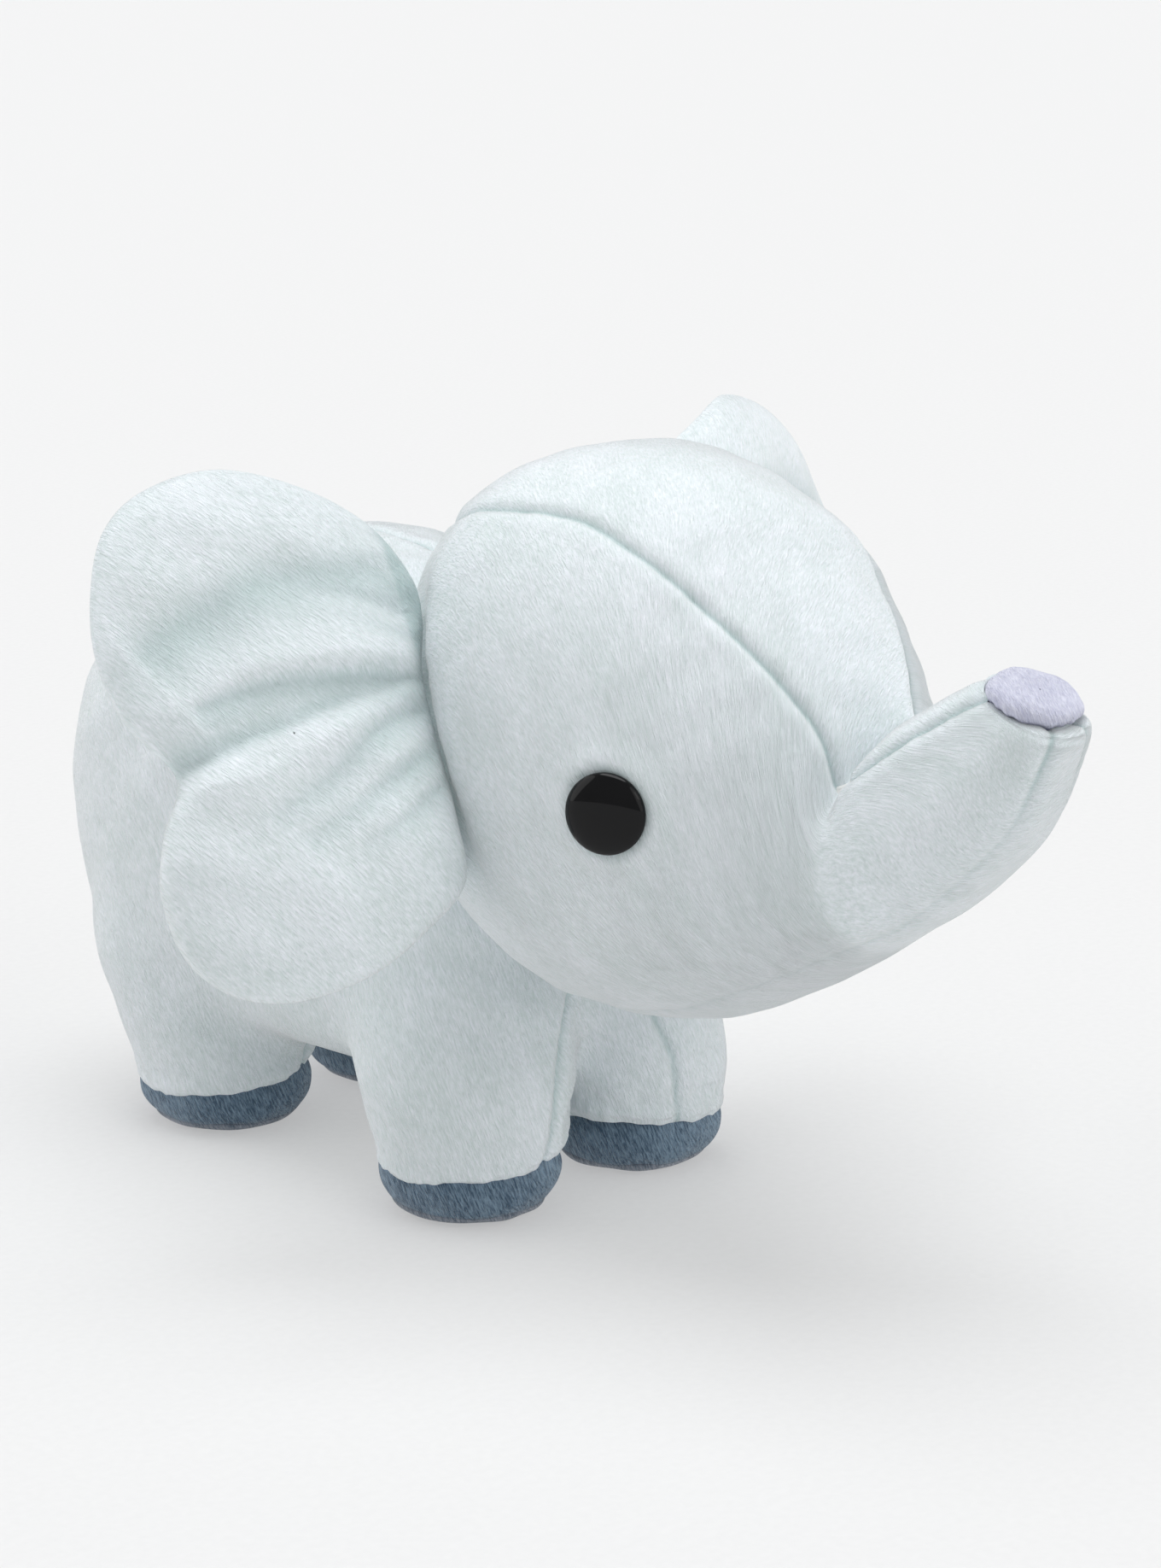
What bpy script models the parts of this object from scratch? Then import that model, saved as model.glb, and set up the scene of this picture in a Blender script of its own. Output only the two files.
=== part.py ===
"""Stuffed elephant: sewn plush panels over loose stuffing, puffed ears, safety eyes, four feet and a tail.

Metres, +Z up. The elephant faces -Y and stands on the floor, with the origin under the middle of its box.
Tables are in millimetres and are turned into metres where a mesh is built.
"""
import math

import bmesh
import bpy
from mathutils import Matrix, Vector

MM = 0.001
OBJECT_NAME = "stuffed_elephant"

# Driving dimensions, millimetres.
FABRIC = 2.0            # a sewn panel, backing and pile pressed together
GAP = 0.3               # clearance between touching pieces
SEAM = 0.2              # each panel stops this far from its seam line
Y_SHIFT = -13.3         # puts the origin under the middle of the finished toy

EYE_DIAMETER = 20.0
EYE_DOME = 4.2
EYE_STEM_DIAMETER = 4.0
EYE_STEM_LENGTH = 11.0
EYE_POINT = (-53.1, -65.6, 123.2)
EYE_AZIMUTH = 63.0      # degrees from straight ahead to the way the eye looks
WASHER_DIAMETER = 12.0
WASHER_THICKNESS = 1.2

NOD_PIVOT = (0.0, -47.0, 135.0)
NOD_LIMIT = 8.0
NECK_CLEARANCE = 1.3    # between the head and the hollow it sits in
GUSSET_HALF_WIDTH = 18.0
GUSSET_TOP = 75.0
FOOT_TOP = 14.0

EAR_ROOT_X = 52.0       # the ear's root line stands this far from the middle plane
EAR_REACH = 88.0        # root line to the outer rim, along the ear
EAR_SWEEP = (12.0, 42.0)  # degrees the ear points back, at its root and at its rim
EAR_HALF_THICKNESS = 10.0
EAR_ROOT_HALF = 1.3

TAIL_BASE = (0.0, 173.9, 117.0)
TAIL_LENGTH = 32.0
TAIL_DROOP = 25.0       # degrees from straight down, leaning away from the rump
TAIL_RADII = (4.2, 6.2, 6.0, 5.2, 3.0)

# Resolution.
AROUND = 16
BODY_SOLVER = "MANIFOLD"
HEAD_STEPS = 20
TOP_COLUMNS = 6
SIDE_COLUMNS = 7
UNDER_COLUMNS = 4
BODY_STEPS = 12

# Head and trunk, back of the head first. A section has a centre (y, z), a lean in degrees, a half width, a height
# above and a depth below its centre, a roundness exponent for its upper and its lower half, and the angles from its
# top to the two seams.
HEAD = (
    (32, 136, 0, 2, 2, 2, 2.1, 2.1, 36, 158),
    (29, 136, 0, 24, 27, 24, 2.1, 2.1, 36, 158),
    (20, 136, 0, 43, 47, 47, 2.25, 2.25, 36, 158),
    (5, 134, 0, 53, 60, 62, 2.35, 2.35, 38, 158),
    (-14, 131, 0, 58, 68, 69, 2.4, 2.4, 37, 158),
    (-36, 128, 0, 58.5, 70, 69, 2.35, 2.35, 34, 158),
    (-58, 126, 0, 55.5, 64.5, 65, 2.3, 2.25, 34, 156),
    (-76, 122, 3, 48.2, 53.5, 53, 2.25, 2.1, 32, 152),
    (-91, 117, 3, 38.5, 43, 39.5, 2.2, 2.05, 31, 151),
    (-101, 113, 3, 30, 33, 29.5, 2.2, 2.05, 30, 150),
    (-107, 110, 6, 25.3, 23, 22, 2.4, 2.05, 33, 150),
    (-111, 114, 9, 23.8, 24, 23.6, 2.3, 2.05, 40, 150),
    (-119, 121, 13, 21.5, 24.3, 24.3, 2.2, 2.1, 47, 150),
    (-131.5, 130.8, 20, 19, 22.2, 22.2, 2.2, 2.2, 46, 150),
    (-142.8, 140.2, 30, 16.8, 19.4, 19.4, 2.2, 2.2, 46, 149),
    (-148.4, 148.2, 46, 14.2, 15.2, 15.2, 2.2, 2.2, 50, 150),
    (-150.3, 152.9, 62, 12.4, 13.2, 13.2, 2.2, 2.2, 54, 152),
    (-150.7, 155.1, 70, 11.6, 12.6, 12.6, 2.2, 2.2, 55, 153),
    (-151.7, 157.8, 70, 8.9, 9.6, 9.6, 2.2, 2.2, 55, 153),
)
TIP_START = 17.0        # station where the panels stop and the tip patch starts
NECK_STATION = 1.1      # station of the turning opening at the back of the head

# Body, rump first: the same columns without the seams.
BODY = (
    (174, 86, 0, 2, 2, 2, 2.2, 2.2),
    (171, 86, 0, 25, 26, 27, 2.2, 2.2),
    (162, 87, 0, 43, 47, 50, 2.3, 2.3),
    (140, 89, 0, 54, 62, 62, 2.4, 2.5),
    (112, 91, 0, 58, 70, 66, 2.4, 2.8),
    (80, 92, 0, 57, 73, 67, 2.4, 3.1),
    (45, 92, 0, 55, 70, 67, 2.4, 3.0),
    (16, 92, 0, 52, 62, 60, 2.4, 2.5),
    (0, 91, 0, 45, 44, 46, 2.3, 2.3),
    (-9, 90, 0, 28, 26, 26, 2.2, 2.2),
    (-12, 90, 0, 2, 2, 2, 2.2, 2.2),
)

# Legs from the foot up: height, centre (x, y) and radius.
LEGS = {
    "front": ((14.3, 29.5, 11, 23.2), (24, 29, 12, 25.5), (40, 27, 15, 28.5), (58, 25, 17, 27), (75, 24, 20, 23)),
    "rear": ((14.3, 29.5, 112, 23.2), (24, 29, 114, 25.5), (40, 28, 119, 31), (58, 27, 121, 31), (75, 26, 121, 26)),
}
FOOT_RADII = ((2.9, 19.6), (8, 22.2), (FOOT_TOP, 23.2))

# Outline of one ear: distance out from the root line and height, once round.
EAR_OUTLINE = (
    (-4, 168), (3, 181), (18, 191), (37, 196), (56, 192), (69, 183), (77, 169), (81, 154), (79, 139), (71, 127),
    (78, 114), (82, 102), (81, 90), (76, 81), (66, 75), (52, 74), (34, 79), (19, 88), (9, 98), (9, 113), (9, 130),
    (6, 146), (1, 158),
)
EAR_CENTRE = (42, 134)
FILLING_CENTRE = (50, 134)
FILLING_SHRINK = 0.62
EAR_PIVOT = (57.5, -3.0, 134.0)
EAR_AXIS = (0.127, -0.459, -0.879)  # the left ear's; a positive turn swings it forward
TAIL_AXIS = (0.0, 0.906, 0.423)

SIDES = {"right": -1, "left": 1}


def clear_scene():
    for obj in list(bpy.data.objects):
        bpy.data.objects.remove(obj, do_unlink=True)
    for group in list(bpy.data.collections):
        bpy.data.collections.remove(group)


def new_collection(name):
    group = bpy.data.collections.new(name)
    bpy.context.scene.collection.children.link(group)
    return group


clear_scene()
PARTS = new_collection(OBJECT_NAME)
CUTTERS = new_collection("cutters")


def principled(name, colour, roughness):
    material = bpy.data.materials.new(name)
    material.use_nodes = True
    shader = material.node_tree.nodes["Principled BSDF"]
    shader.inputs["Base Color"].default_value = (*colour, 1.0)
    shader.inputs["Roughness"].default_value = roughness
    shader.inputs["Metallic"].default_value = 0.0
    return material


MINT = principled("mint_plush", (0.71, 0.82, 0.81), 0.9)
MINT_DEEP = principled("mint_plush_shade", (0.62, 0.76, 0.75), 0.9)
SLATE = principled("slate_plush", (0.17, 0.25, 0.34), 0.9)
SLATE_SOLE = principled("slate_sole_plush", (0.25, 0.31, 0.39), 0.9)
LAVENDER = principled("lavender_plush", (0.52, 0.54, 0.68), 0.9)
FIBRE = principled("stuffing_fibre", (0.86, 0.86, 0.84), 1.0)
EYE_BLACK = principled("eye_plastic", (0.004, 0.004, 0.005), 0.08)
WASHER_WHITE = principled("washer_plastic", (0.75, 0.75, 0.73), 0.45)


def spline(rows, t):
    """Catmull-Rom through the rows of a table, t counting from row 0."""
    last = len(rows) - 1
    t = min(max(t, 0.0), last - 1e-9)
    i = int(t)
    f = t - i
    a, b, c, d = (rows[min(max(i + k, 0), last)] for k in (-1, 0, 1, 2))
    return [0.5 * (2 * q + (r - p) * f + (2 * p - 5 * q + 4 * r - s) * f * f + (3 * q - p - 3 * r + s) * f ** 3)
            for p, q, r, s in zip(a, b, c, d)]


def section_point(rows, t, angle):
    """A point of a lofted skin: angle 0 is its top, and a positive angle turns to the toy's right."""
    y, z, lean, width, above, below, power_above, power_below = spline(rows, t)[:8]
    lean = math.radians(lean)
    sine, cosine = math.sin(angle), math.cos(angle)
    power = power_above if cosine > 0 else power_below
    across = -max(width, 1.0) * math.copysign(abs(sine) ** (2 / power), sine)
    height = max(above if cosine > 0 else below, 1.0) * math.copysign(abs(cosine) ** (2 / power), cosine)
    return Vector((across, y + Y_SHIFT + height * math.sin(lean), z + height * math.cos(lean)))


def section_normal(rows, t, angle):
    """The outward normal of a lofted skin, from differences."""
    along = section_point(rows, t + 0.03, angle) - section_point(rows, t - 0.03, angle)
    round_it = section_point(rows, t, angle + 0.02) - section_point(rows, t, angle - 0.02)
    return round_it.cross(along).normalized()


def skin_point(rows, t, angle, inset):
    return (section_point(rows, t, angle) - section_normal(rows, t, angle) * inset) * MM


def add_object(name, bm, material, group=None):
    """Turn a bmesh into an object with outward faces and smooth shading."""
    bmesh.ops.recalc_face_normals(bm, faces=bm.faces)
    mesh = bpy.data.meshes.new(name)
    bm.to_mesh(mesh)
    bm.free()
    mesh.materials.append(material)
    mesh.shade_smooth()
    mesh.set_sharp_from_angle(angle=math.radians(40))
    obj = bpy.data.objects.new(name, mesh)
    (group or PARTS).objects.link(obj)
    return obj


def as_cutter(obj):
    for group in list(obj.users_collection):
        group.objects.unlink(obj)
    CUTTERS.objects.link(obj)
    obj.hide_render = True
    obj.display_type = "WIRE"
    return obj


def apply_boolean(obj, operation, cutter, solver="EXACT"):
    modifier = obj.modifiers.new(operation.lower(), "BOOLEAN")
    modifier.operation = operation
    modifier.object = cutter
    modifier.solver = solver
    graph = bpy.context.evaluated_depsgraph_get()
    mesh = bpy.data.meshes.new_from_object(obj.evaluated_get(graph))
    obj.modifiers.clear()
    obj.data = mesh
    return obj


def box_cutter(name, low, high):
    bpy.ops.mesh.primitive_cube_add(size=1.0)
    obj = bpy.context.active_object
    obj.name = name
    size = (Vector(high) - Vector(low)) * MM
    centre = (Vector(high) + Vector(low)) * MM / 2
    obj.data.transform(Matrix.Translation(centre) @ Matrix.Diagonal((*size, 1.0)))
    return as_cutter(obj)


def copy_as(obj, name, material):
    twin = obj.copy()
    twin.data = obj.data.copy()
    twin.name = name
    twin.data.materials.clear()
    twin.data.materials.append(material)
    twin.hide_render = False
    twin.display_type = "TEXTURED"
    PARTS.objects.link(twin)
    return twin


def bridge(bm, ring_a, ring_b, closed=True):
    count = len(ring_a)
    for i in range(count if closed else count - 1):
        k = (i + 1) % count
        bm.faces.new((ring_a[i], ring_a[k], ring_b[k], ring_b[i]))


def even_angles(t):
    """Angles once round a section, the same at every station."""
    return [2 * math.pi * k / AROUND for k in range(AROUND)]


def closed_loft(name, rows, stations, angles, inset, material, group=None):
    """A solid inside a lofted skin, its two ends closed by fans; angles(t) are the columns of a station."""
    bm = bmesh.new()
    rings = [[bm.verts.new(skin_point(rows, t, angle, inset)) for angle in angles(t)] for t in stations]
    for a, b in zip(rings, rings[1:]):
        bridge(bm, a, b)
    for ring in (rings[0], rings[-1]):
        count = len(ring)
        middle = bm.verts.new(sum((v.co for v in ring), Vector()) / count)
        for k in range(count):
            bm.faces.new((ring[k], ring[(k + 1) % count], middle))
    return add_object(name, bm, material, group)


def sewn_panel(name, rows, stations, edges, columns, material):
    """A fabric panel between two seams; edges(t) gives its first and last angle."""
    bm = bmesh.new()
    layers = []
    for inset in (0.0, FABRIC):
        layer = []
        for t in stations:
            first, last = edges(t)
            angles = [first + (last - first) * k / columns for k in range(columns + 1)]
            layer.append([bm.verts.new(skin_point(rows, t, angle, inset)) for angle in angles])
        for a, b in zip(layer, layer[1:]):
            bridge(bm, a, b, closed=False)
        layers.append(layer)
    outer, inner = layers
    bridge(bm, outer[0], inner[0], closed=False)
    bridge(bm, outer[-1], inner[-1], closed=False)
    for column in (0, columns):
        bridge(bm, [row[column] for row in outer], [row[column] for row in inner], closed=False)
    return add_object(name, bm, material)


def seam_step(t):
    """The angle that leaves SEAM millimetres beside a seam at this station."""
    row = spline(HEAD, t)
    return SEAM / ((row[3] + row[4]) / 2)


def top_seam(t):
    return math.radians(spline(HEAD, t)[8])


def under_seam(t):
    return math.radians(spline(HEAD, t)[9])


def spaced(start, stop, steps):
    return [start + (stop - start) * i / steps for i in range(steps + 1)]


def seam_angles(t):
    """Columns once round the head that fall on its seams, as the panels' own columns do."""
    top, under = top_seam(t), under_seam(t)
    angles = spaced(-top, top, TOP_COLUMNS)[:-1]
    angles += spaced(top, under, SIDE_COLUMNS)[:-1]
    angles += spaced(under, 2 * math.pi - under, UNDER_COLUMNS)[:-1]
    angles += spaced(2 * math.pi - under, 2 * math.pi - top, SIDE_COLUMNS)[:-1]
    return angles


def make_head():
    stations = spaced(NECK_STATION, TIP_START, HEAD_STEPS)
    sewn_panel("head_top_gusset", HEAD, stations,
               lambda t: (-top_seam(t) + seam_step(t), top_seam(t) - seam_step(t)), TOP_COLUMNS, MINT_DEEP)
    sewn_panel("head_under_gusset", HEAD, stations,
               lambda t: (under_seam(t) + seam_step(t), 2 * math.pi - under_seam(t) - seam_step(t)),
               UNDER_COLUMNS, MINT_DEEP)
    for side, sign in SIDES.items():
        sewn_panel(f"head_side_panel_{side}", HEAD, stations,
                   lambda t: (-sign * (top_seam(t) + seam_step(t)), -sign * (under_seam(t) - seam_step(t))),
                   SIDE_COLUMNS, MINT)
    closed_loft("head_stuffing", HEAD, [0.5] + stations[:-2], seam_angles, FABRIC + 3 * GAP, FIBRE)


def make_trunk_tip():
    """The small patch that closes the end of the trunk, a shell with a low crown."""
    lean = math.radians(HEAD[-1][2])
    forward = Vector((0.0, -math.cos(lean), math.sin(lean)))
    turns = [2 * math.pi * k / AROUND for k in range(AROUND)]
    bm = bmesh.new()
    layers = []
    for inset in (0.0, FABRIC):
        rings = []
        for t, share, lift in ((TIP_START + 0.1, 1, 0), (17.5, 1, 0), (17.97, 1, 0), (17.97, 0.55, 1.2)):
            ring = [section_point(HEAD, t, turn) for turn in turns]
            middle = sum(ring, Vector()) / AROUND
            wall = 1 - inset / 12 if share == 1 else 1
            rise = forward * (lift - inset if lift else 0)
            rings.append([bm.verts.new((middle + (point - middle) * share * wall + rise) * MM) for point in ring])
        for a, b in zip(rings, rings[1:]):
            bridge(bm, a, b)
        pole = bm.verts.new((middle + forward * (1.7 - inset)) * MM)
        crown = rings[-1]
        for k in range(AROUND):
            bm.faces.new((crown[k], crown[(k + 1) % AROUND], pole))
        layers.append(rings[0])
    bridge(bm, *layers)
    add_object("trunk_tip_patch", bm, LAVENDER)


def turned(name, profile, steps, matrix, material):
    """Turn a closed or axis-to-axis profile of (radius, height), outer side running down, about local Z."""
    mesh = bpy.data.meshes.new(name)
    points = [(r * MM, 0.0, z * MM) for r, z in profile]
    edges = [(i, i + 1) for i in range(len(points) - 1)]
    if profile[0][0] > 0:
        edges.append((len(points) - 1, 0))
    mesh.from_pydata(points, edges, [])
    obj = bpy.data.objects.new(name, mesh)
    PARTS.objects.link(obj)
    screw = obj.modifiers.new("turn", "SCREW")
    screw.steps = steps
    screw.render_steps = steps
    screw.use_merge_vertices = True
    screw.merge_threshold = 0.00001
    screw.use_smooth_shade = True
    obj.data.materials.append(material)
    obj.matrix_world = matrix
    return obj


def frame_matrix(origin, z_axis):
    """A matrix at origin (millimetres) whose Z runs along z_axis."""
    turn = Vector(z_axis).normalized().to_track_quat("Z", "Y").to_matrix().to_4x4()
    return Matrix.Translation(Vector(origin) * MM) @ turn


def cylinder_cutter(name, matrix, radius, low, high):
    bpy.ops.mesh.primitive_cylinder_add(vertices=16, radius=radius * MM, depth=(high - low) * MM)
    obj = bpy.context.active_object
    obj.name = name
    obj.data.transform(matrix @ Matrix.Translation((0, 0, (low + high) / 2 * MM)))
    return as_cutter(obj)


def make_eyes():
    radius = EYE_DIAMETER / 2
    stem = EYE_STEM_DIAMETER / 2
    dome = [(radius * math.sin(a), 1.0 + (EYE_DOME - 1.0) * math.cos(a)) for a in spaced(0, math.pi / 2, 5)]
    eye = [(0.0, EYE_DOME)] + dome[1:] + [(radius - 0.6, 0.0), (stem, 0.0), (stem, -EYE_STEM_LENGTH),
                                          (0.0, -EYE_STEM_LENGTH)]
    hole = stem + GAP
    rim = WASHER_DIAMETER / 2
    washer = [(hole, 0.0), (rim, 0.0), (rim, -WASHER_THICKNESS), (hole, -WASHER_THICKNESS)]
    stuffing = bpy.data.objects["head_stuffing"]
    for side, sign in SIDES.items():
        x, y, z = EYE_POINT
        azimuth = math.radians(EYE_AZIMUTH)
        gaze = Vector((sign * math.sin(azimuth), -math.cos(azimuth), 0.02))
        seat = Vector((-sign * x, y + Y_SHIFT, z)) + gaze * (GAP + 0.8)
        matrix = frame_matrix(seat, gaze)
        turned(f"eye_{side}", eye, 24, matrix, EYE_BLACK)
        back = matrix @ Matrix.Translation((0, 0, -5.2 * MM))
        turned(f"eye_washer_{side}", washer, 20, back, WASHER_WHITE)
        panel = bpy.data.objects[f"head_side_panel_{side}"]
        apply_boolean(panel, "DIFFERENCE", cylinder_cutter(f"stem_hole_{side}", matrix, hole, -8.0, 5.0))
        pocket = cylinder_cutter(f"washer_pocket_{side}", matrix, rim + GAP, -EYE_STEM_LENGTH - 0.6, 5.0)
        apply_boolean(stuffing, "DIFFERENCE", pocket)


def leg_solid(name, rows, sign, inset, low=None):
    """One leg as a stack of rings; low replaces the height of the first ring."""
    bm = bmesh.new()
    rings = []
    for i, (z, x, y, radius) in enumerate(rows):
        height = low if low is not None and i == 0 else z
        ring = []
        for k in range(AROUND):
            a = 2 * math.pi * k / AROUND
            ring.append(bm.verts.new(Vector((sign * x + (radius - inset) * math.cos(a),
                                             y + Y_SHIFT + (radius - inset) * math.sin(a), height)) * MM))
        rings.append(ring)
    for a, b in zip(rings, rings[1:]):
        bridge(bm, a, b)
    bm.faces.new(rings[0])
    bm.faces.new(rings[-1])
    return as_cutter(add_object(name, bm, MINT))


def foot_rows(rows):
    """The leg's table, carried down through the foot to the sole."""
    x, y = rows[0][1:3]
    return tuple((z, x, y, radius) for z, radius in FOOT_RADII) + rows[1:]


def head_cutters():
    """The head's space at several nods, which the body's neck hollow is cut to."""
    pivot = (Vector(NOD_PIVOT) + Vector((0, Y_SHIFT, 0))) * MM
    stations = [0.05, 0.5] + spaced(NECK_STATION, TIP_START, HEAD_STEPS)[:-HEAD_STEPS // 3]
    for index, angle in enumerate((-NOD_LIMIT, 0.0, NOD_LIMIT)):
        name = f"head_space_{index}"
        obj = as_cutter(closed_loft(name, HEAD, stations, seam_angles, -NECK_CLEARANCE, MINT))
        turn = Matrix.Rotation(math.radians(angle), 4, "X")
        obj.data.transform(Matrix.Translation(pivot) @ turn @ Matrix.Translation(-pivot))
        yield obj


def whole_body(name, inset, leg_inset, through_feet):
    """The body with its legs as one solid, inset from the outside of the skin."""
    body = as_cutter(closed_loft(name, BODY, spaced(0.25, 9.75, BODY_STEPS), even_angles, inset, MINT))
    for place, rows in LEGS.items():
        for side, sign in SIDES.items():
            if through_feet:
                leg = leg_solid(f"{name}_{place}_{side}", foot_rows(rows), sign, leg_inset)
            else:
                low = rows[0][0] - (5.0 if inset > 0 else 0.0)
                leg = leg_solid(f"{name}_{place}_{side}", rows, sign, leg_inset, low)
            apply_boolean(body, "UNION", leg, BODY_SOLVER)
    return body


def make_body():
    """The body's solids are closed, and EXACT leaves gaps where they graze each other, so MANIFOLD cuts them."""
    skin = whole_body("body_outside", 0.0, 0.0, False)
    hollow = whole_body("body_hollow", FABRIC, FABRIC, False)
    fill = whole_body("body_fill", FABRIC + GAP, FABRIC + GAP, True)
    apply_boolean(skin, "DIFFERENCE", hollow, BODY_SOLVER)
    for cutter in head_cutters():
        apply_boolean(skin, "DIFFERENCE", cutter, BODY_SOLVER)
        apply_boolean(fill, "DIFFERENCE", cutter, BODY_SOLVER)
    copy_as(fill, "body_stuffing", FIBRE)
    half, top = GUSSET_HALF_WIDTH, GUSSET_TOP
    inside = box_cutter("gusset_space", (-half + SEAM, -60, -5), (half - SEAM, 200, top - SEAM))
    outside = box_cutter("gusset_removed", (-half - SEAM, -60, -5), (half + SEAM, 200, top + SEAM))
    apply_boolean(copy_as(skin, "belly_gusset", MINT_DEEP), "INTERSECT", inside, BODY_SOLVER)
    for side, sign in SIDES.items():
        near, far = sorted((sign * SEAM, sign * 90.0))
        half_space = box_cutter(f"body_half_{side}", (near, -80, -5), (far, 220, 220))
        panel = copy_as(skin, f"body_side_panel_{side}", MINT)
        apply_boolean(panel, "INTERSECT", half_space, BODY_SOLVER)
        apply_boolean(panel, "DIFFERENCE", outside, BODY_SOLVER)


def make_feet():
    band = [(r, z) for z, r in reversed(FOOT_RADII)]
    band += [(r - FABRIC, z) for z, r in FOOT_RADII]
    sole_radius = FOOT_RADII[0][1] - 0.1
    sole = [(0.0, 2.6), (sole_radius, 2.6), (sole_radius - 0.6, 1.2), (sole_radius - 2.8, 0.0), (0.0, 0.0)]
    for place, rows in LEGS.items():
        for side, sign in SIDES.items():
            matrix = Matrix.Translation(Vector((sign * rows[0][1], rows[0][2] + Y_SHIFT, 0.0)) * MM)
            turned(f"foot_band_{place}_{side}", band, AROUND, matrix, SLATE)
            turned(f"foot_sole_{place}_{side}", sole, AROUND, matrix, SLATE_SOLE)


def ear_root_y(z):
    """How far back the ear's root line lies at a height: it leans back above the lower corner, where it bends."""
    above, below, bend, corner = 0.54, 0.10, 12.0, 100.0
    t = z - corner
    return -22.0 + below * t + (above - below) * bend * (math.log1p(math.exp(t / bend)) - math.log(2))


def ear_point(u, z, sign):
    """A point of the ear's middle surface, which sweeps back along an arc."""
    start, end = (math.radians(a) for a in EAR_SWEEP)
    rate = (end - start) / EAR_REACH
    angle = start + rate * u
    out = (math.sin(angle) - math.sin(start)) / rate
    back = (math.cos(start) - math.cos(angle)) / rate
    return Vector((sign * (EAR_ROOT_X + out), ear_root_y(z) + back + Y_SHIFT, z))


def ear_normal(u, z, sign):
    """The way the ear's front faces."""
    along = ear_point(u + 0.5, z, sign) - ear_point(u - 0.5, z, sign)
    up = ear_point(u, z + 0.5, sign) - ear_point(u, z - 0.5, sign)
    return (along.cross(up) * -sign).normalized()


def ear_half_thickness(u, share):
    """Half the ear's thickness: crowned towards the middle and thin at its root; share is 0 there and 1 at the rim."""
    crown = EAR_HALF_THICKNESS * math.sqrt(max(0.0, 1.0 - share ** 2.4))
    near_root = min(1.0, max(0.0, (u + 2.0) / 30.0))
    return EAR_ROOT_HALF + (crown - EAR_ROOT_HALF) * near_root ** 0.7 if crown > EAR_ROOT_HALF else crown


def ear_layer(bm, sign, height, shares, shrink, centre):
    """One surface of the ear as rings from the rim in to the centre; height(u, share) is signed."""
    rings = []
    for share in shares:
        ring = []
        for u, z in EAR_OUTLINE:
            scale = share * shrink
            pu = centre[0] + (u - centre[0]) * scale
            pz = centre[1] + (z - centre[1]) * scale
            offset = ear_normal(pu, pz, sign) * height(pu, share)
            ring.append(bm.verts.new((ear_point(pu, pz, sign) + offset) * MM))
        rings.append(ring)
    for a, b in zip(rings, rings[1:]):
        bridge(bm, a, b)
    u, z = centre
    middle = bm.verts.new((ear_point(u, z, sign) + ear_normal(u, z, sign) * height(u, 0.0)) * MM)
    last = rings[-1]
    for k in range(len(last)):
        bm.faces.new((last[k], last[(k + 1) % len(last)], middle))
    return rings[0]


def ear_piece(name, sign, upper, lower, material, shrink=1.0, centre=EAR_CENTRE):
    bm = bmesh.new()
    shares = (1.0, 0.85, 0.5)
    rims = [ear_layer(bm, sign, height, shares, shrink, centre) for height in (upper, lower)]
    bridge(bm, *rims)
    return add_object(name, bm, material)


def make_ears():
    """Each ear is a front and a back panel, sewn at the rim, over a thin layer of fibre."""
    def outer(u, share):
        return max(ear_half_thickness(u, share), 1.0)

    def inner(u, share):
        return max(outer(u, share) - FABRIC, GAP / 2)

    def fill(u, share):
        return max((outer(u, share) - FABRIC) * 0.45, 0.4)

    for side, sign in SIDES.items():
        ear_piece(f"ear_front_panel_{side}", sign, outer, inner, MINT)
        ear_piece(f"ear_back_panel_{side}", sign, lambda u, s: -outer(u, s), lambda u, s: -inner(u, s), MINT_DEEP)
        ear_piece(f"ear_filling_{side}", sign, fill, lambda u, s: -fill(u, s), FIBRE, FILLING_SHRINK,
                  FILLING_CENTRE)


def make_tail():
    droop = math.radians(TAIL_DROOP)
    down = Vector((0.0, math.sin(droop), -math.cos(droop)))
    base = Vector(TAIL_BASE) + Vector((0, Y_SHIFT, 0))
    count = len(TAIL_RADII)
    profile = [(0.0, 0.0)]
    profile += [(r, -(i + 0.35) / (count - 0.3) * TAIL_LENGTH) for i, r in enumerate(TAIL_RADII)]
    profile.append((0.0, -TAIL_LENGTH))
    turned("tail", profile, 16, frame_matrix(base, -down), MINT)


def hinge_empty(name, point, axis, pieces):
    """An empty on a joint's axis, its Z along it, carrying every piece that the joint moves."""
    empty = bpy.data.objects.new(name, None)
    empty.empty_display_size = 10 * MM
    PARTS.objects.link(empty)
    place = frame_matrix(Vector(point) + Vector((0, Y_SHIFT, 0)), axis)
    empty.matrix_world = place
    for piece in pieces:
        obj = bpy.data.objects[piece]
        obj.parent = empty
        obj.matrix_parent_inverse = place.inverted()


def make_joint_frames():
    """The nod carries the head and, through the ears' own hinges, both ears."""
    head = ["head_top_gusset", "head_under_gusset", "head_stuffing", "trunk_tip_patch"]
    for side, sign in SIDES.items():
        x, y, z = EAR_PIVOT
        ax, ay, az = EAR_AXIS
        hinge = f"ear_{side}_flap"
        hinge_empty(hinge, (sign * x, y, z), (ax, sign * ay, sign * az),
                    [f"ear_{piece}_{side}" for piece in ("front_panel", "back_panel", "filling")])
        head += [f"head_side_panel_{side}", f"eye_{side}", f"eye_washer_{side}", hinge]
    hinge_empty("neck_nod", NOD_PIVOT, (1, 0, 0), head)
    hinge_empty("tail_swing", TAIL_BASE, TAIL_AXIS, ["tail"])


make_head()
make_trunk_tip()
make_eyes()
make_body()
make_feet()
make_ears()
make_tail()
make_joint_frames()
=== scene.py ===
"""The stuffed elephant's looks: sewn plush skins, puffed ears, fluffy hems, slate feet and glossy eyes.

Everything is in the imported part's frame. Shape tables are in millimetres, before the shift that centres the part.
"""
import math

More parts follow.
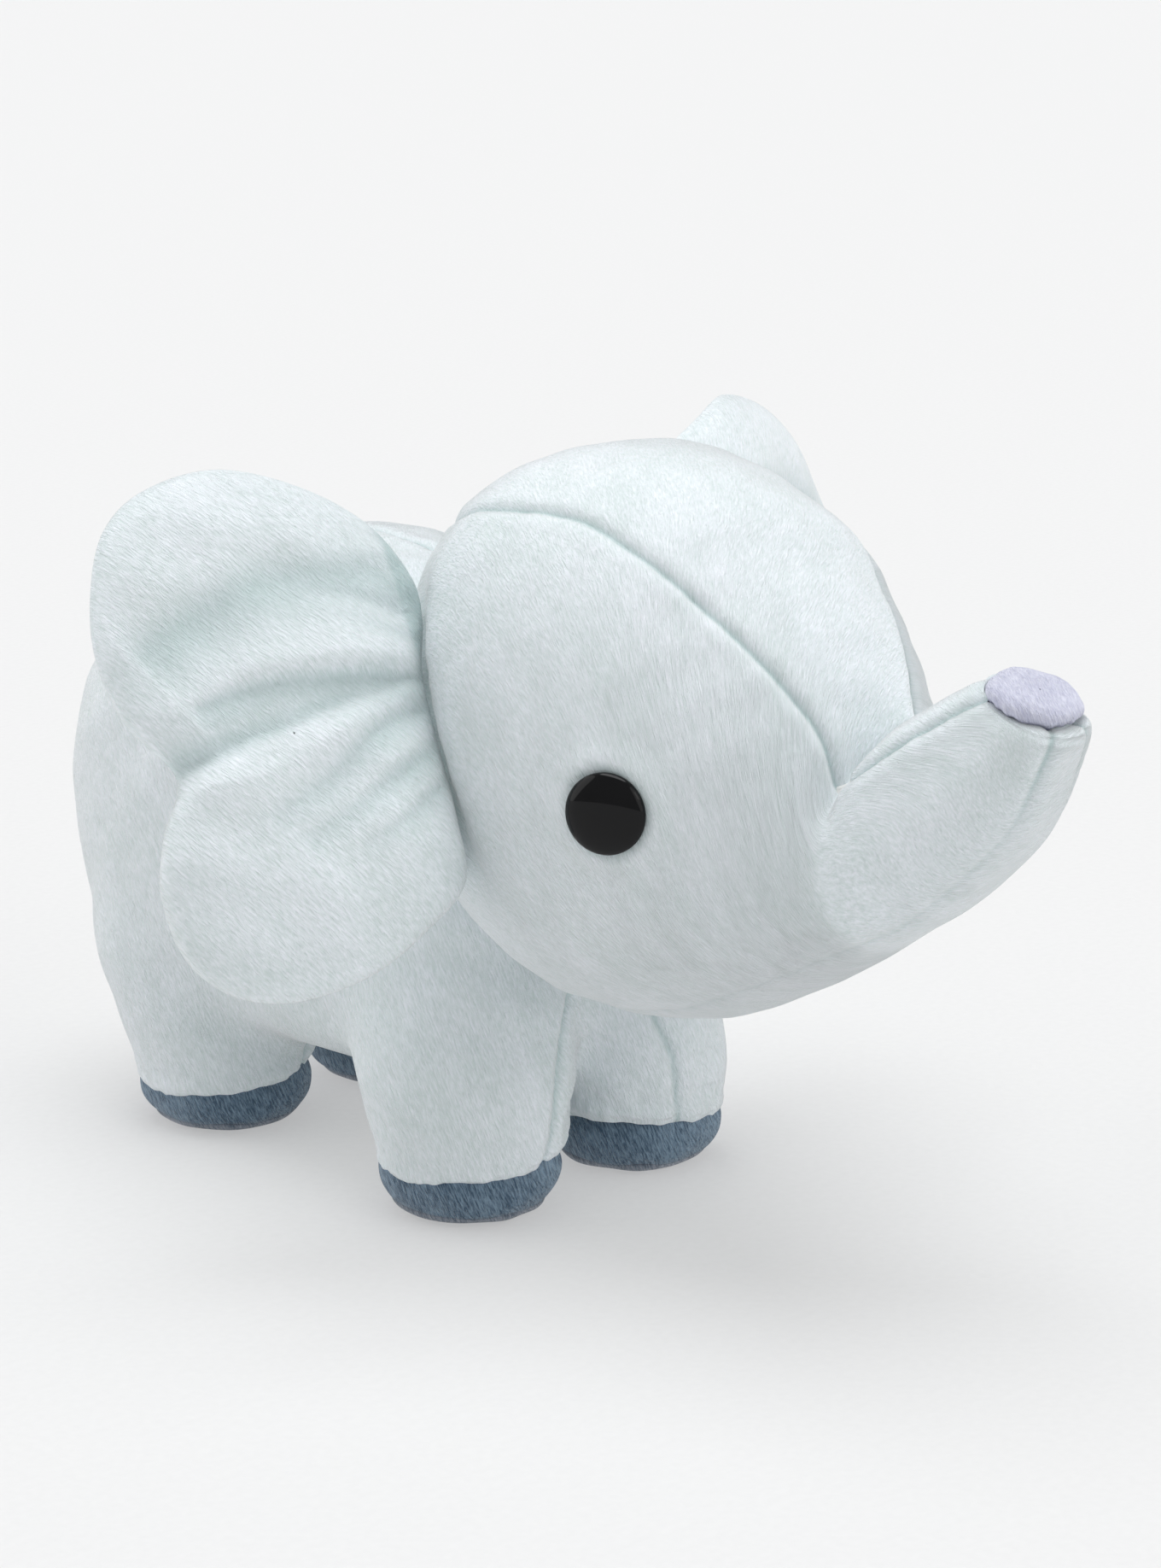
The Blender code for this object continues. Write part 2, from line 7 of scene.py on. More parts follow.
import bmesh
import bpy
import numpy as np
from mathutils import Matrix, Vector
from mathutils.bvhtree import BVHTree


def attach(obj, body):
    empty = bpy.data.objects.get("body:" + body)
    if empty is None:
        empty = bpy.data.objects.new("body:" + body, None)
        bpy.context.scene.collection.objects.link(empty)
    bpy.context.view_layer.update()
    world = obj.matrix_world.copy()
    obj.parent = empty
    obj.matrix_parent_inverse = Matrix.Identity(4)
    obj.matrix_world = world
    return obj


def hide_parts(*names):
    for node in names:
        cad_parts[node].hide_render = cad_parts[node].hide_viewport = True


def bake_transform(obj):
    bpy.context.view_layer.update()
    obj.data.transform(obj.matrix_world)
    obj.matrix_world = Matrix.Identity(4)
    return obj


MM = 0.001
Y_SHIFT = -13.3
TAU = 2 * math.pi

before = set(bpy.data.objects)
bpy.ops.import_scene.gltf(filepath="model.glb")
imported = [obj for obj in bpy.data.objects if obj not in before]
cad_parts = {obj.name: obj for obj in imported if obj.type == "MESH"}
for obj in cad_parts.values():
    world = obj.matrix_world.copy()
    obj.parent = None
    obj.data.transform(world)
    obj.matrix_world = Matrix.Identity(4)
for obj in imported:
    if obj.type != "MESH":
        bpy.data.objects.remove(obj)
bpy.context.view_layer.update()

# Head and trunk, back of the head first: centre (y, z), lean in degrees, half width, height above and depth below
# the centre, roundness exponents above and below it, and the angles from the top to the two seams.
HEAD = (
    (32, 136, 0, 2, 2, 2, 2.1, 2.1, 36, 158),
    (29, 136, 0, 24, 27, 24, 2.1, 2.1, 36, 158),
    (20, 136, 0, 43, 47, 47, 2.25, 2.25, 36, 158),
    (5, 134, 0, 53, 60, 62, 2.35, 2.35, 38, 158),
    (-14, 131, 0, 58, 68, 69, 2.4, 2.4, 37, 158),
    (-36, 128, 0, 58.5, 70, 69, 2.35, 2.35, 34, 158),
    (-58, 126, 0, 55.5, 64.5, 65, 2.3, 2.25, 34, 156),
    (-76, 122, 3, 48.2, 53.5, 53, 2.25, 2.1, 32, 152),
    (-91, 117, 3, 38.5, 43, 39.5, 2.2, 2.05, 31, 151),
    (-101, 113, 3, 30, 33, 29.5, 2.2, 2.05, 30, 150),
    (-107, 110, 6, 25.3, 23, 22, 2.4, 2.05, 33, 150),
    (-111, 114, 9, 23.8, 24, 23.6, 2.3, 2.05, 40, 150),
    (-119, 121, 13, 21.5, 24.3, 24.3, 2.2, 2.1, 47, 150),
    (-131.5, 130.8, 20, 19, 22.2, 22.2, 2.2, 2.2, 46, 150),
    (-142.8, 140.2, 30, 16.8, 19.4, 19.4, 2.2, 2.2, 46, 149),
    (-148.4, 148.2, 46, 14.2, 15.2, 15.2, 2.2, 2.2, 50, 150),
    (-150.3, 152.9, 62, 12.4, 13.2, 13.2, 2.2, 2.2, 54, 152),
    (-150.7, 155.1, 70, 11.6, 12.6, 12.6, 2.2, 2.2, 55, 153),
    (-151.7, 157.8, 70, 8.9, 9.6, 9.6, 2.2, 2.2, 55, 153),
)
HEAD_SEAM = (1.25, 1.5)  # depth and width of a seam's groove
BODY_SEAM = (1.0, 1.6)
LEFT_SEAM_TURN = 11.0    # how much further round the forehead the left top seam is sewn, in degrees
TIP_START = 17.0
# The puffed patch: share of the trunk's section and height over its end.
TIP_PROFILE = ((0.80, -2.0), (0.86, -0.8), (0.94, 0.2), (0.985, 1.2), (0.97, 2.3), (0.89, 3.2), (0.74, 3.9), (0.5, 4.3),
               (0.25, 4.5), (0.02, 4.55))
TIP_SHORTER = 0.1        # share taken off the patch from front to back
TIP_SHIFT = 0.9          # how far back it sits
LIP_OVERRUN = 0.6        # how far past TIP_START the trunk's skin turns in over the patch
CROOK = 10.0             # where the head runs into the trunk
HEAD_STATIONS = 230
SMOOTHING_ROUNDS = 220
TOP_COLUMNS = 62
SIDE_COLUMNS = 98
UNDER_COLUMNS = 42

BODY = (
    (174, 86, 0, 2, 2, 2, 2.2, 2.2),
    (171, 86, 0, 25, 26, 27, 2.2, 2.2),
    (162, 87, 0, 43, 47, 50, 2.3, 2.3),
    (140, 89, 0, 54, 62, 62, 2.4, 2.5),
    (112, 91, 0, 58, 70, 66, 2.4, 2.8),
    (80, 92, 0, 57, 73, 67, 2.4, 3.1),
    (45, 92, 0, 55, 70, 67, 2.4, 3.0),
    (16, 92, 0, 52, 62, 60, 2.4, 2.5),
    (0, 91, 0, 45, 44, 46, 2.3, 2.3),
    (-9, 90, 0, 28, 26, 26, 2.2, 2.2),
    (-12, 90, 0, 2, 2, 2, 2.2, 2.2),
)
# Legs from the foot up: height, centre (x, y) and radius.
LEGS = {
    "front": ((9, 29.5, 11, 23.4), (14.3, 29.5, 11, 24.0), (24, 29, 12, 26.3), (40, 27, 15, 29.3), (58, 25, 17, 28),
              (75, 24, 20, 24)),
    "rear": ((9, 29.5, 112, 23.4), (14.3, 29.5, 112, 24.0), (24, 29, 114, 26.3), (40, 28, 119, 32), (58, 27, 121, 32),
             (75, 26, 121, 27)),
}
BODY_VOXEL = 2.5         # the remesh that fuses the legs with the body
HEM_HEIGHT = 13.7
# How the edge of a hem is rolled under, in steps: inwards and down.
HEM_ROLL = ((0.6, 0.9), (1.2, 0.3), (2.4, -1.0))
FOOT_COLUMNS = 120
FOOT_WOBBLE = 0.35
# Feet as turned profiles: radius and height.
BAND_PROFILE = ((21.0, 17.0), (22.4, 15.0), (23.5, 12.0), (23.4, 9.0), (22.6, 6.2), (21.0, 3.6), (19.4, 2.2))
SOLE_PROFILE = ((20.2, 3.4), (19.9, 2.2), (18.8, 1.0), (17.0, 0.3), (14.0, 0.05), (8.0, 0.02), (0.2, 0.0))
# Folds on the front of the legs: a line, its depth and its softness.
LEG_FOLDS = (
    (((27, -9, 18), (31, -9, 28), (35, -7, 40), (40, -4, 54)), 1.6, 3.0),
    (((44, -4, 22), (34, -9, 21), (22, -9, 21), (12, -4, 22)), 1.3, 2.6),
    (((-20, -9, 24), (-12, -7, 27), (-6, -2, 30)), 1.2, 2.6),
)
GUSSET_HALF_WIDTH = 18.0
GUSSET_TOP = 75.0

EYE_POINT = (53.1, -65.6, 123.2)
EYE_AZIMUTH = 63.0
EYE_RADIUS = 10.0
EYE_COLUMNS = 96
EYE_DOME = 4.2
STEM_RADIUS = 2.0
STEM_LENGTH = 11.0

EAR_ROOT_X = 52.0
EAR_REACH = 88.0
EAR_SWEEP = (12.0, 42.0)
EAR_CENTRE = (42.0, 134.0)
EAR_OUTLINE = (
    (-4, 168), (3, 181), (18, 191), (37, 196), (56, 192), (69, 183), (77, 169), (81, 154), (79, 139), (71, 127),
    (78, 114), (82, 102), (81, 90), (76, 81), (66, 75), (52, 74), (34, 79), (19, 88), (7, 98), (5, 113), (4, 130),
    (2, 146), (-3, 158),
)
# Ear folds: a line of (u, z), depth along it at both ends, and its softness above and below.
EAR_FOLDS = (
    (((0, 144), (12, 145), (26, 145.5), (40, 145.5), (54, 143), (64, 139)), 10.0, 4.5, 1.8, 8.5),
    (((14, 143), (28, 141), (42, 137), (54, 133.5), (64, 130), (76, 126)), 4.0, 11.0, 5.0, 2.4),
    (((2, 138), (14, 136), (25, 131), (39, 122), (54, 115)), 7.5, 2.2, 2.6, 5.0),
    (((6, 129), (20, 123), (34, 116), (48, 110)), 6.0, 1.8, 2.6, 4.6),
    (((6, 121), (14, 117), (24, 112), (34, 108)), 5.0, 1.2, 2.4, 3.6),
    (((-3, 161), (8, 167.5), (18, 168), (38, 167), (60, 158), (72, 151)), 7.2, 5.2, 6.0, 10.0),
    (((5, 160), (18, 164), (28, 164)), 4.0, 1.0, 2.0, 3.0),
    (((-1, 152), (14, 157), (24, 158)), 3.8, 1.0, 2.2, 3.2),
)
EAR_RIDGES = (
    (((2, 141), (10, 142.2), (22, 139), (38, 130.5), (52, 125.5), (68, 123)), 4.0, 3.4, 3.2, 5.5),
    (((0, 149), (14, 150.5), (30, 151), (50, 149)), 2.8, 1.8, 6.0, 3.2),
)
LIP_REACH = 5.5          # how far the roll above the main fold hangs down over it

TAIL_BASE = (0.0, 173.9, 117.0)
TAIL_DROOP = 25.0
TAIL_PROFILE = ((0.3, 1.0), (3.6, -1.5), (5.4, -8), (6.4, -15), (6.2, -22), (5.0, -28), (2.6, -31.3), (0.2, -32))
SIDES = {"right": -1, "left": 1}

FLOOR_HALF_WIDTH = 30.0  # metres
FLOOR_GAP = 0.0006       # metres below the soles
NECK_OVERLAP = 5.0       # how far the body's skin runs on inside the head's


# ---------------------------------------------------------------- numbers

def spline(rows, t):
    """Catmull-Rom through the rows of a table, for an array of t."""
    rows = np.asarray(rows, float)
    last = len(rows) - 1
    t = np.clip(np.asarray(t, float), 0, last - 1e-9)
    i = t.astype(int)
    f = (t - i)[..., None]
    a, b, c, d = (rows[np.clip(i + k, 0, last)] for k in (-1, 0, 1, 2))
    return 0.5 * (2 * b + (c - a) * f + (2 * a - 5 * b + 4 * c - d) * f ** 2 + (3 * b - a - 3 * c + d) * f ** 3)


def closed_spline(points, count):
    """A closed Catmull-Rom curve through points, at count even steps."""
    points = np.asarray(points, float)
    ring = np.vstack([points[-1:], points, points[:2]])
    return spline(ring, 1 + np.arange(count) / count * len(points))


def smooth_step(x):
    x = np.clip(x, 0, 1)
    return x * x * (3 - 2 * x)


def lumps(points, wavelength, seed):
    """A smooth pseudo-random field of about unit size over points in millimetres."""
    rng = np.random.default_rng(seed)
    total = np.zeros(points.shape[:-1])
    for _ in range(9):
        direction = rng.normal(size=3)
        direction *= TAU / (wavelength * rng.uniform(0.7, 1.6) * np.linalg.norm(direction))
        total += np.sin(points @ direction + rng.uniform(0, TAU))
    return total / 3


def to_line(points, line, samples=60):
    """Distance to a smooth open line, how far along it (0 to 1), and the offset from its nearest point."""
    line = np.asarray(line, float)
    curve = spline(line, np.linspace(0, len(line) - 1, samples))
    flat = points.reshape(-1, points.shape[-1])
    best = np.full(len(flat), 1e9)
    along = np.zeros(len(flat))
    offset = np.zeros_like(flat)
    for i, (a, b) in enumerate(zip(curve, curve[1:])):
        step = b - a
        f = np.clip((flat - a) @ step / (step @ step), 0, 1)
        gap = flat - (a + f[:, None] * step)
        distance = np.linalg.norm(gap, axis=1)
        nearer = distance < best
        best[nearer] = distance[nearer]
        along[nearer] = (i + f[nearer]) / (samples - 1)
        offset[nearer] = gap[nearer]
    shape = points.shape[:-1]
    return best.reshape(shape), along.reshape(shape), offset.reshape(points.shape)


def brushed(points):
    """Pile coordinates from place alone: the strokes slant down and back over any rounded piece."""
    x, y, z = np.moveaxis(points, -1, 0)
    return np.stack([0.85 * z + 0.5 * y + 0.3 * x, x + 0.5 * z - 0.85 * y, 0.7 * x], axis=-1)


def groove(distance, depth, width):
    """A sewn valley with softly raised shoulders."""
    valley = -depth * np.exp(-(distance / width) ** 2)
    return valley + 0.22 * depth * np.exp(-((distance - 2.8 * width) / (1.6 * width)) ** 2)


def puckers(along, distance, size, wavelength, reach):
    """Ripples across a seam where the thread gathers the cloth."""
    phase = TAU * along / wavelength + 1.7 * np.sin(TAU * along / (wavelength * 3.7))
    return size * np.sin(phase) * np.exp(-(distance / reach) ** 1.5)


def grid_normals(grid):
    """Normals of a grid of points, (rows, columns, 3), whose columns go once round."""
    along = np.gradient(grid, axis=0)
    across = (np.roll(grid, -1, axis=1) - np.roll(grid, 1, axis=1)) / 2
    normal = np.cross(across, along)
    return normal / np.maximum(np.linalg.norm(normal, axis=-1, keepdims=True), 1e-9)


def arc_lengths(grid, axis):
    """Length along a grid of points from its first row or column."""
    steps = np.linalg.norm(np.diff(grid, axis=axis), axis=-1)
    total = np.cumsum(steps, axis=axis)
    start = np.zeros_like(np.take(total, [0], axis=axis))
    return np.concatenate([start, total], axis=axis)


# ---------------------------------------------------------------- meshes

def write_pile(mesh, nap, crease_shade):
    """Keep the pile's coordinates and the painted shade of its creases and seams as attributes, for the material."""
    nap = np.ravel(nap).astype(np.float32)
    mesh.attributes.new("nap", "FLOAT_VECTOR", "POINT").data.foreach_set("vector", nap)
    crease_shade = np.ravel(crease_shade).astype(np.float32)
    mesh.attributes.new("crease_shade", "FLOAT", "POINT").data.foreach_set("value", crease_shade)


def new_mesh(name, points, faces):
    """An object from points in millimetres."""
    mesh = bpy.data.meshes.new(name)
    mesh.from_pydata((np.asarray(points) * MM).tolist(), [], faces)
    mesh.shade_smooth()
    obj = bpy.data.objects.new(name, mesh)
    bpy.context.scene.collection.objects.link(obj)
    return obj


def grid_faces(rows, columns, closed=False, flip=False):
    """Quads of a grid; closed wraps the columns."""
    wide = columns if closed else columns - 1
    r, c = np.meshgrid(np.arange(rows - 1), np.arange(wide), indexing="ij")
    a = r * columns + c
    b = r * columns + (c + 1) % columns
    quads = np.stack([a, b, b + columns, a + columns], axis=-1).reshape(-1, 4)
    return (quads[:, ::-1] if flip else quads).tolist()


def from_grid(name, grid, nap, crease_shade, closed=False):
    """A piece of plush from a grid of points, (rows, columns, 3)."""
    obj = new_mesh(name, grid.reshape(-1, 3), grid_faces(*grid.shape[:2], closed))
    write_pile(obj.data, nap, crease_shade)
    return obj


def points_of(obj):
    points = np.zeros(len(obj.data.vertices) * 3)
    obj.data.vertices.foreach_get("co", points)
    return points.reshape(-1, 3) / MM


def set_points(obj, points):
    obj.data.vertices.foreach_set("co", np.ravel(points * MM))
    obj.data.update()


def vertex_normals(obj):
    normals = np.zeros(len(obj.data.vertices) * 3)
    obj.data.vertex_normals.foreach_get("vector", normals)
    return normals.reshape(-1, 3)


def apply_modifiers(obj):
    """Replace the mesh by its evaluated one."""
    graph = bpy.context.evaluated_depsgraph_get()
    mesh = bpy.data.meshes.new_from_object(obj.evaluated_get(graph))
    obj.modifiers.clear()
    obj.data = mesh
    return obj


def relax(obj, weights, rounds):
    """Laplacian smoothing, by a weight per vertex."""
    points = points_of(obj)
    edges = np.zeros(len(obj.data.edges) * 2, int)
    obj.data.edges.foreach_get("vertices", edges)
    a, b = edges.reshape(-1, 2).T
    count = np.bincount(np.concatenate([a, b]), minlength=len(points))[:, None]
    for _ in range(rounds):
        total = np.zeros_like(points)
        for k in range(3):
            total[:, k] = np.bincount(a, points[b, k], len(points)) + np.bincount(b, points[a, k], len(points))
        points += (total / count - points) * weights[:, None]
    set_points(obj, points)


def cut_along(obj, field, remove_below=False):
    """Cut a mesh along field = 0, so that a seam is a clean line; the field is an array over its points."""
    bm = bmesh.new()
    bm.from_mesh(obj.data)
    place = bm.verts.layers.float_vector.new("place")
    bm.verts.ensure_lookup_table()
    for vert, value in zip(bm.verts, field):
        vert[place] = vert.co
        vert.co = Vector((value * MM, 0, 0)) + Vector((0, vert.co.y, vert.co.z))
    everything = bm.verts[:] + bm.edges[:] + bm.faces[:]
    bmesh.ops.bisect_plane(bm, geom=everything, dist=1e-6, plane_co=(0, 0, 0), plane_no=(1, 0, 0),
                           clear_inner=remove_below)
    for vert in bm.verts:
        vert.co = vert[place]
    bm.verts.layers.float_vector.remove(place)
    bm.to_mesh(obj.data)
    bm.free()
    obj.data.update()


def separate(obj, name, keep):
    """A copy of obj with only the faces whose centre (millimetres) passes keep."""
    twin = bpy.data.objects.new(name, obj.data.copy())
    bpy.context.scene.collection.objects.link(twin)
    bm = bmesh.new()
    bm.from_mesh(twin.data)
    gone = [face for face in bm.faces if not keep(face.calc_center_median() / MM)]
    bmesh.ops.delete(bm, geom=gone, context="FACES")
    bm.to_mesh(twin.data)
    bm.free()
    return twin


# ---------------------------------------------------------------- materials

class Graph:
    """Small helper that adds shader nodes to one material."""

    def __init__(self, name):
        self.material = bpy.data.materials.new(name)
        self.material.use_nodes = True
        self.nodes = self.material.node_tree.nodes
        self.links = self.material.node_tree.links
        self.shader = self.nodes["Principled BSDF"]

    def add(self, kind, inputs=None, **settings):
        node = self.nodes.new(kind)
        for key, value in settings.items():
            setattr(node, key, value)
        for key, value in (inputs or {}).items():
            if isinstance(value, bpy.types.NodeSocket):
                self.links.new(value, node.inputs[key])
            else:
                node.inputs[key].default_value = value
        return node

    def attribute(self, name):
        return self.add("ShaderNodeAttribute", attribute_name=name)

    def scaled(self, vector, scale):
        return self.add("ShaderNodeVectorMath", {0: vector, 1: scale}, operation="MULTIPLY").outputs[0]

    def noise(self, vector, scale, detail=2.0, roughness=0.5, distortion=0.0):
        return self.add("ShaderNodeTexNoise", {"Vector": vector, "Scale": scale, "Detail": detail,
                                               "Roughness": roughness, "Distortion": distortion}).outputs["Fac"]

    def math(self, operation, a, b=0.0, clamp=False):
        return self.add("ShaderNodeMath", {0: a, 1: b}, operation=operation, use_clamp=clamp).outputs[0]

    def remap(self, value, low, high, to_low=0.0, to_high=1.0):
        return self.add("ShaderNodeMapRange", {"Value": value, "From Min": low, "From Max": high, "To Min": to_low,
                                               "To Max": to_high}).outputs["Result"]

    def mix(self, factor, a, b):
        node = self.nodes.new("ShaderNodeMix")
        node.data_type = "RGBA"
        for socket, value in ((node.inputs[0], factor), (node.inputs[6], a), (node.inputs[7], b)):
            if isinstance(value, bpy.types.NodeSocket):
                self.links.new(value, socket)
            else:
                socket.default_value = (*value, 1.0)
        return node.outputs[2]

    def set(self, **values):
        for key, value in values.items():
            socket = self.shader.inputs[key.replace("_", " ")]
            if isinstance(value, bpy.types.NodeSocket):
                self.links.new(value, socket)
            else:
                socket.default_value = value


def plush(name, light, mid, shade_colour, streak, sheen, bump):
    """Short cut pile: fine strokes along the nap, patches brushed either way, and painted shade in the creases and
    seams.
    """
    g = Graph(name)
    nap = g.attribute("nap").outputs["Vector"]
    crease_shade = g.attribute("crease_shade").outputs["Fac"]
    strokes = g.noise(g.scaled(nap, (0.40, 1.7, 0.9)), 1.0, 3.0, 0.62, 0.35)
    tufts = g.noise(g.scaled(nap, (0.9, 2.6, 1.6)), 1.0, 2.0, 0.6, 0.2)
    patches = g.noise(g.scaled(nap, (0.055, 0.085, 0.07)), 1.0, 3.0, 0.55, 0.6)
    drift = g.noise(g.scaled(nap, (0.018, 0.02, 0.02)), 1.0, 1.0, 0.5)
    tone = g.math("ADD", g.math("MULTIPLY", g.math("SUBTRACT", strokes, 0.5), 1.25 * streak),
                  g.math("MULTIPLY", g.math("SUBTRACT", patches, 0.5), 0.9))
    tone = g.math("ADD", tone, g.math("MULTIPLY", g.math("SUBTRACT", drift, 0.5), 0.5))
    tone = g.math("ADD", tone, 0.5, clamp=True)
    colour = g.mix(tone, mid, light)
    # painted shade: creases, seams and hollows are darkened towards the shade colour
    colour = g.mix(g.math("MULTIPLY", crease_shade, 1.0, clamp=True), colour, shade_colour)
    height = g.math("ADD", strokes, g.math("MULTIPLY", tufts, 0.5))
    height = g.math("ADD", height, g.math("MULTIPLY", patches, 0.6))
    surface = g.add("ShaderNodeBump", {"Strength": bump, "Distance": 0.9 * MM, "Height": height})
    g.set(Base_Color=colour, Roughness=0.9, Normal=surface.outputs["Normal"], Sheen_Weight=sheen,
          Sheen_Roughness=0.32)
    g.shader.inputs["Specular IOR Level"].default_value = 0.15
    return g.material


def fibre_material():
    g = Graph("loose_fibre")
    place = g.add("ShaderNodeTexCoord").outputs["Object"]
    strands = g.noise(place, 900.0, 6.0, 0.7, 1.5)
    clumps = g.noise(place, 70.0, 3.0, 0.6)
    tone = g.math("MULTIPLY", g.math("ADD", strands, clumps), 0.5)
    g.set(Base_Color=g.mix(tone, (0.74, 0.74, 0.72), (0.93, 0.93, 0.92)), Roughness=0.95)
    g.set(Normal=g.add("ShaderNodeBump", {"Strength": 0.7, "Distance": 1.5 * MM, "Height": tone}).outputs["Normal"])
    return g.material


def washer_material():
    g = Graph("moulded_washer")
    place = g.add("ShaderNodeTexCoord").outputs["Object"]
    grain = g.noise(place, 1400.0, 3.0, 0.6)
    g.set(Base_Color=g.mix(grain, (0.72, 0.72, 0.70), (0.80, 0.80, 0.78)),
          Roughness=g.remap(grain, 0.3, 0.7, 0.38, 0.5))
    g.set(Normal=g.add("ShaderNodeBump", {"Strength": 0.15, "Distance": 0.1 * MM, "Height": grain}).outputs["Normal"])
    return g.material


def eye_material():
    g = Graph("eye_gloss_black")
    place = g.add("ShaderNodeTexCoord").outputs["Object"]
    dust = g.noise(place, 2600.0, 4.0, 0.7)
    smear = g.noise(place, 190.0, 3.0, 0.6, 0.8)
    g.set(Base_Color=g.mix(smear, (0.0025, 0.0025, 0.003), (0.005, 0.005, 0.0055)),
          Roughness=g.remap(g.math("MULTIPLY", dust, smear), 0.15, 0.5, 0.035, 0.09))
    g.shader.inputs["Specular IOR Level"].default_value = 0.2
    return g.material


MINT = plush("mint_plush", (0.90, 0.94, 0.99), (0.68, 0.765, 0.765), (0.35, 0.505, 0.495), 1.9, 1.0, 0.75)
SLATE = plush("slate_plush", (0.23, 0.325, 0.42), (0.065, 0.11, 0.165), (0.035, 0.055, 0.08), 3.2, 0.4, 1.0)
SOLE = plush("slate_sole", (0.36, 0.39, 0.45), (0.12, 0.155, 0.20), (0.05, 0.07, 0.10), 2.6, 0.5, 0.9)
LAVENDER = plush("lavender_plush", (0.76, 0.77, 0.89), (0.54, 0.55, 0.70), (0.27, 0.28, 0.42), 2.1, 0.4, 0.9)
FIBRE = fibre_material()
WASHER = washer_material()
EYE = eye_material()


def dress(obj, material, body, slot, *nodes):
    """Give a piece its material, tie it to its body if one is given, and let it stand for its CAD nodes."""
    obj.data.materials.clear()
    obj.data.materials.append(material)
    if body:
        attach(obj, body)
    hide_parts(*nodes)
    return obj


# ---------------------------------------------------------------- head

def section(rows, t, angles):
    """Points of a lofted skin at stations t and their angles from the top, (stations, columns, 3)."""
    y, z, lean, width, above, below, upper, lower = (column[:, None] for column in spline(rows, t).T[:8])
    lean = np.radians(lean)
    sine, cosine = np.sin(angles), np.cos(angles)
    power = np.where(cosine > 0, upper, lower)
    across = -np.maximum(width, 1) * np.sign(sine) * np.abs(sine) ** (2 / power)
    height = np.maximum(np.where(cosine > 0, above, below), 1) * np.sign(cosine) * np.abs(cosine) ** (2 / power)
    return np.stack([across, y + Y_SHIFT + height * np.sin(lean), z + height * np.cos(lean)], axis=-1)


def shifted(points):
    return np.asarray(points, float) + (0, Y_SHIFT, 0)


def ear_root_y(z):
    """Where the ear's root seam lies along the head, at height z: it leans back above the corner."""
    bend, corner = 12.0, 100.0
    t = np.asarray(z, float) - corner
    return -22.0 + 0.10 * t + 0.44 * bend * (np.log1p(np.exp(t / bend)) - math.log(2))


def ear_surface(u, z, sign):
    """Points of the ear's middle surface."""
    start, end = np.radians(EAR_SWEEP)
    rate = (end - start) / EAR_REACH
    angle = start + rate * u
    out = (np.sin(angle) - math.sin(start)) / rate
    back = (math.cos(start) - np.cos(angle)) / rate
    return np.stack([sign * (EAR_ROOT_X + out), ear_root_y(z) + back + Y_SHIFT, z], axis=-1)


def head_columns(t):
    """Angles once round the head at each station, with columns that fall on the four seams."""
    top, under = np.radians(spline(HEAD, t)[:, 8:10]).T[:, :, None]
    far = top + np.radians(LEFT_SEAM_TURN) * np.exp(-((t[:, None] - 7.0) / 2.2) ** 2)
    share = [np.arange(n)[None, :] / n for n in (TOP_COLUMNS, SIDE_COLUMNS, UNDER_COLUMNS, SIDE_COLUMNS)]
    share = [x - 0.1 * np.sin(TAU * x) for x in share]
    edges = (-far, top, under, TAU - under, TAU - far)
    return np.concatenate([a + (b - a) * s for a, b, s in zip(edges, edges[1:], share)], axis=1)


def seam_columns():
    """The columns of head_columns that fall on the seams: left top, right top, right under and left under."""
    first = TOP_COLUMNS
    second = first + SIDE_COLUMNS
    third = second + UNDER_COLUMNS
    return 0, first, second, third


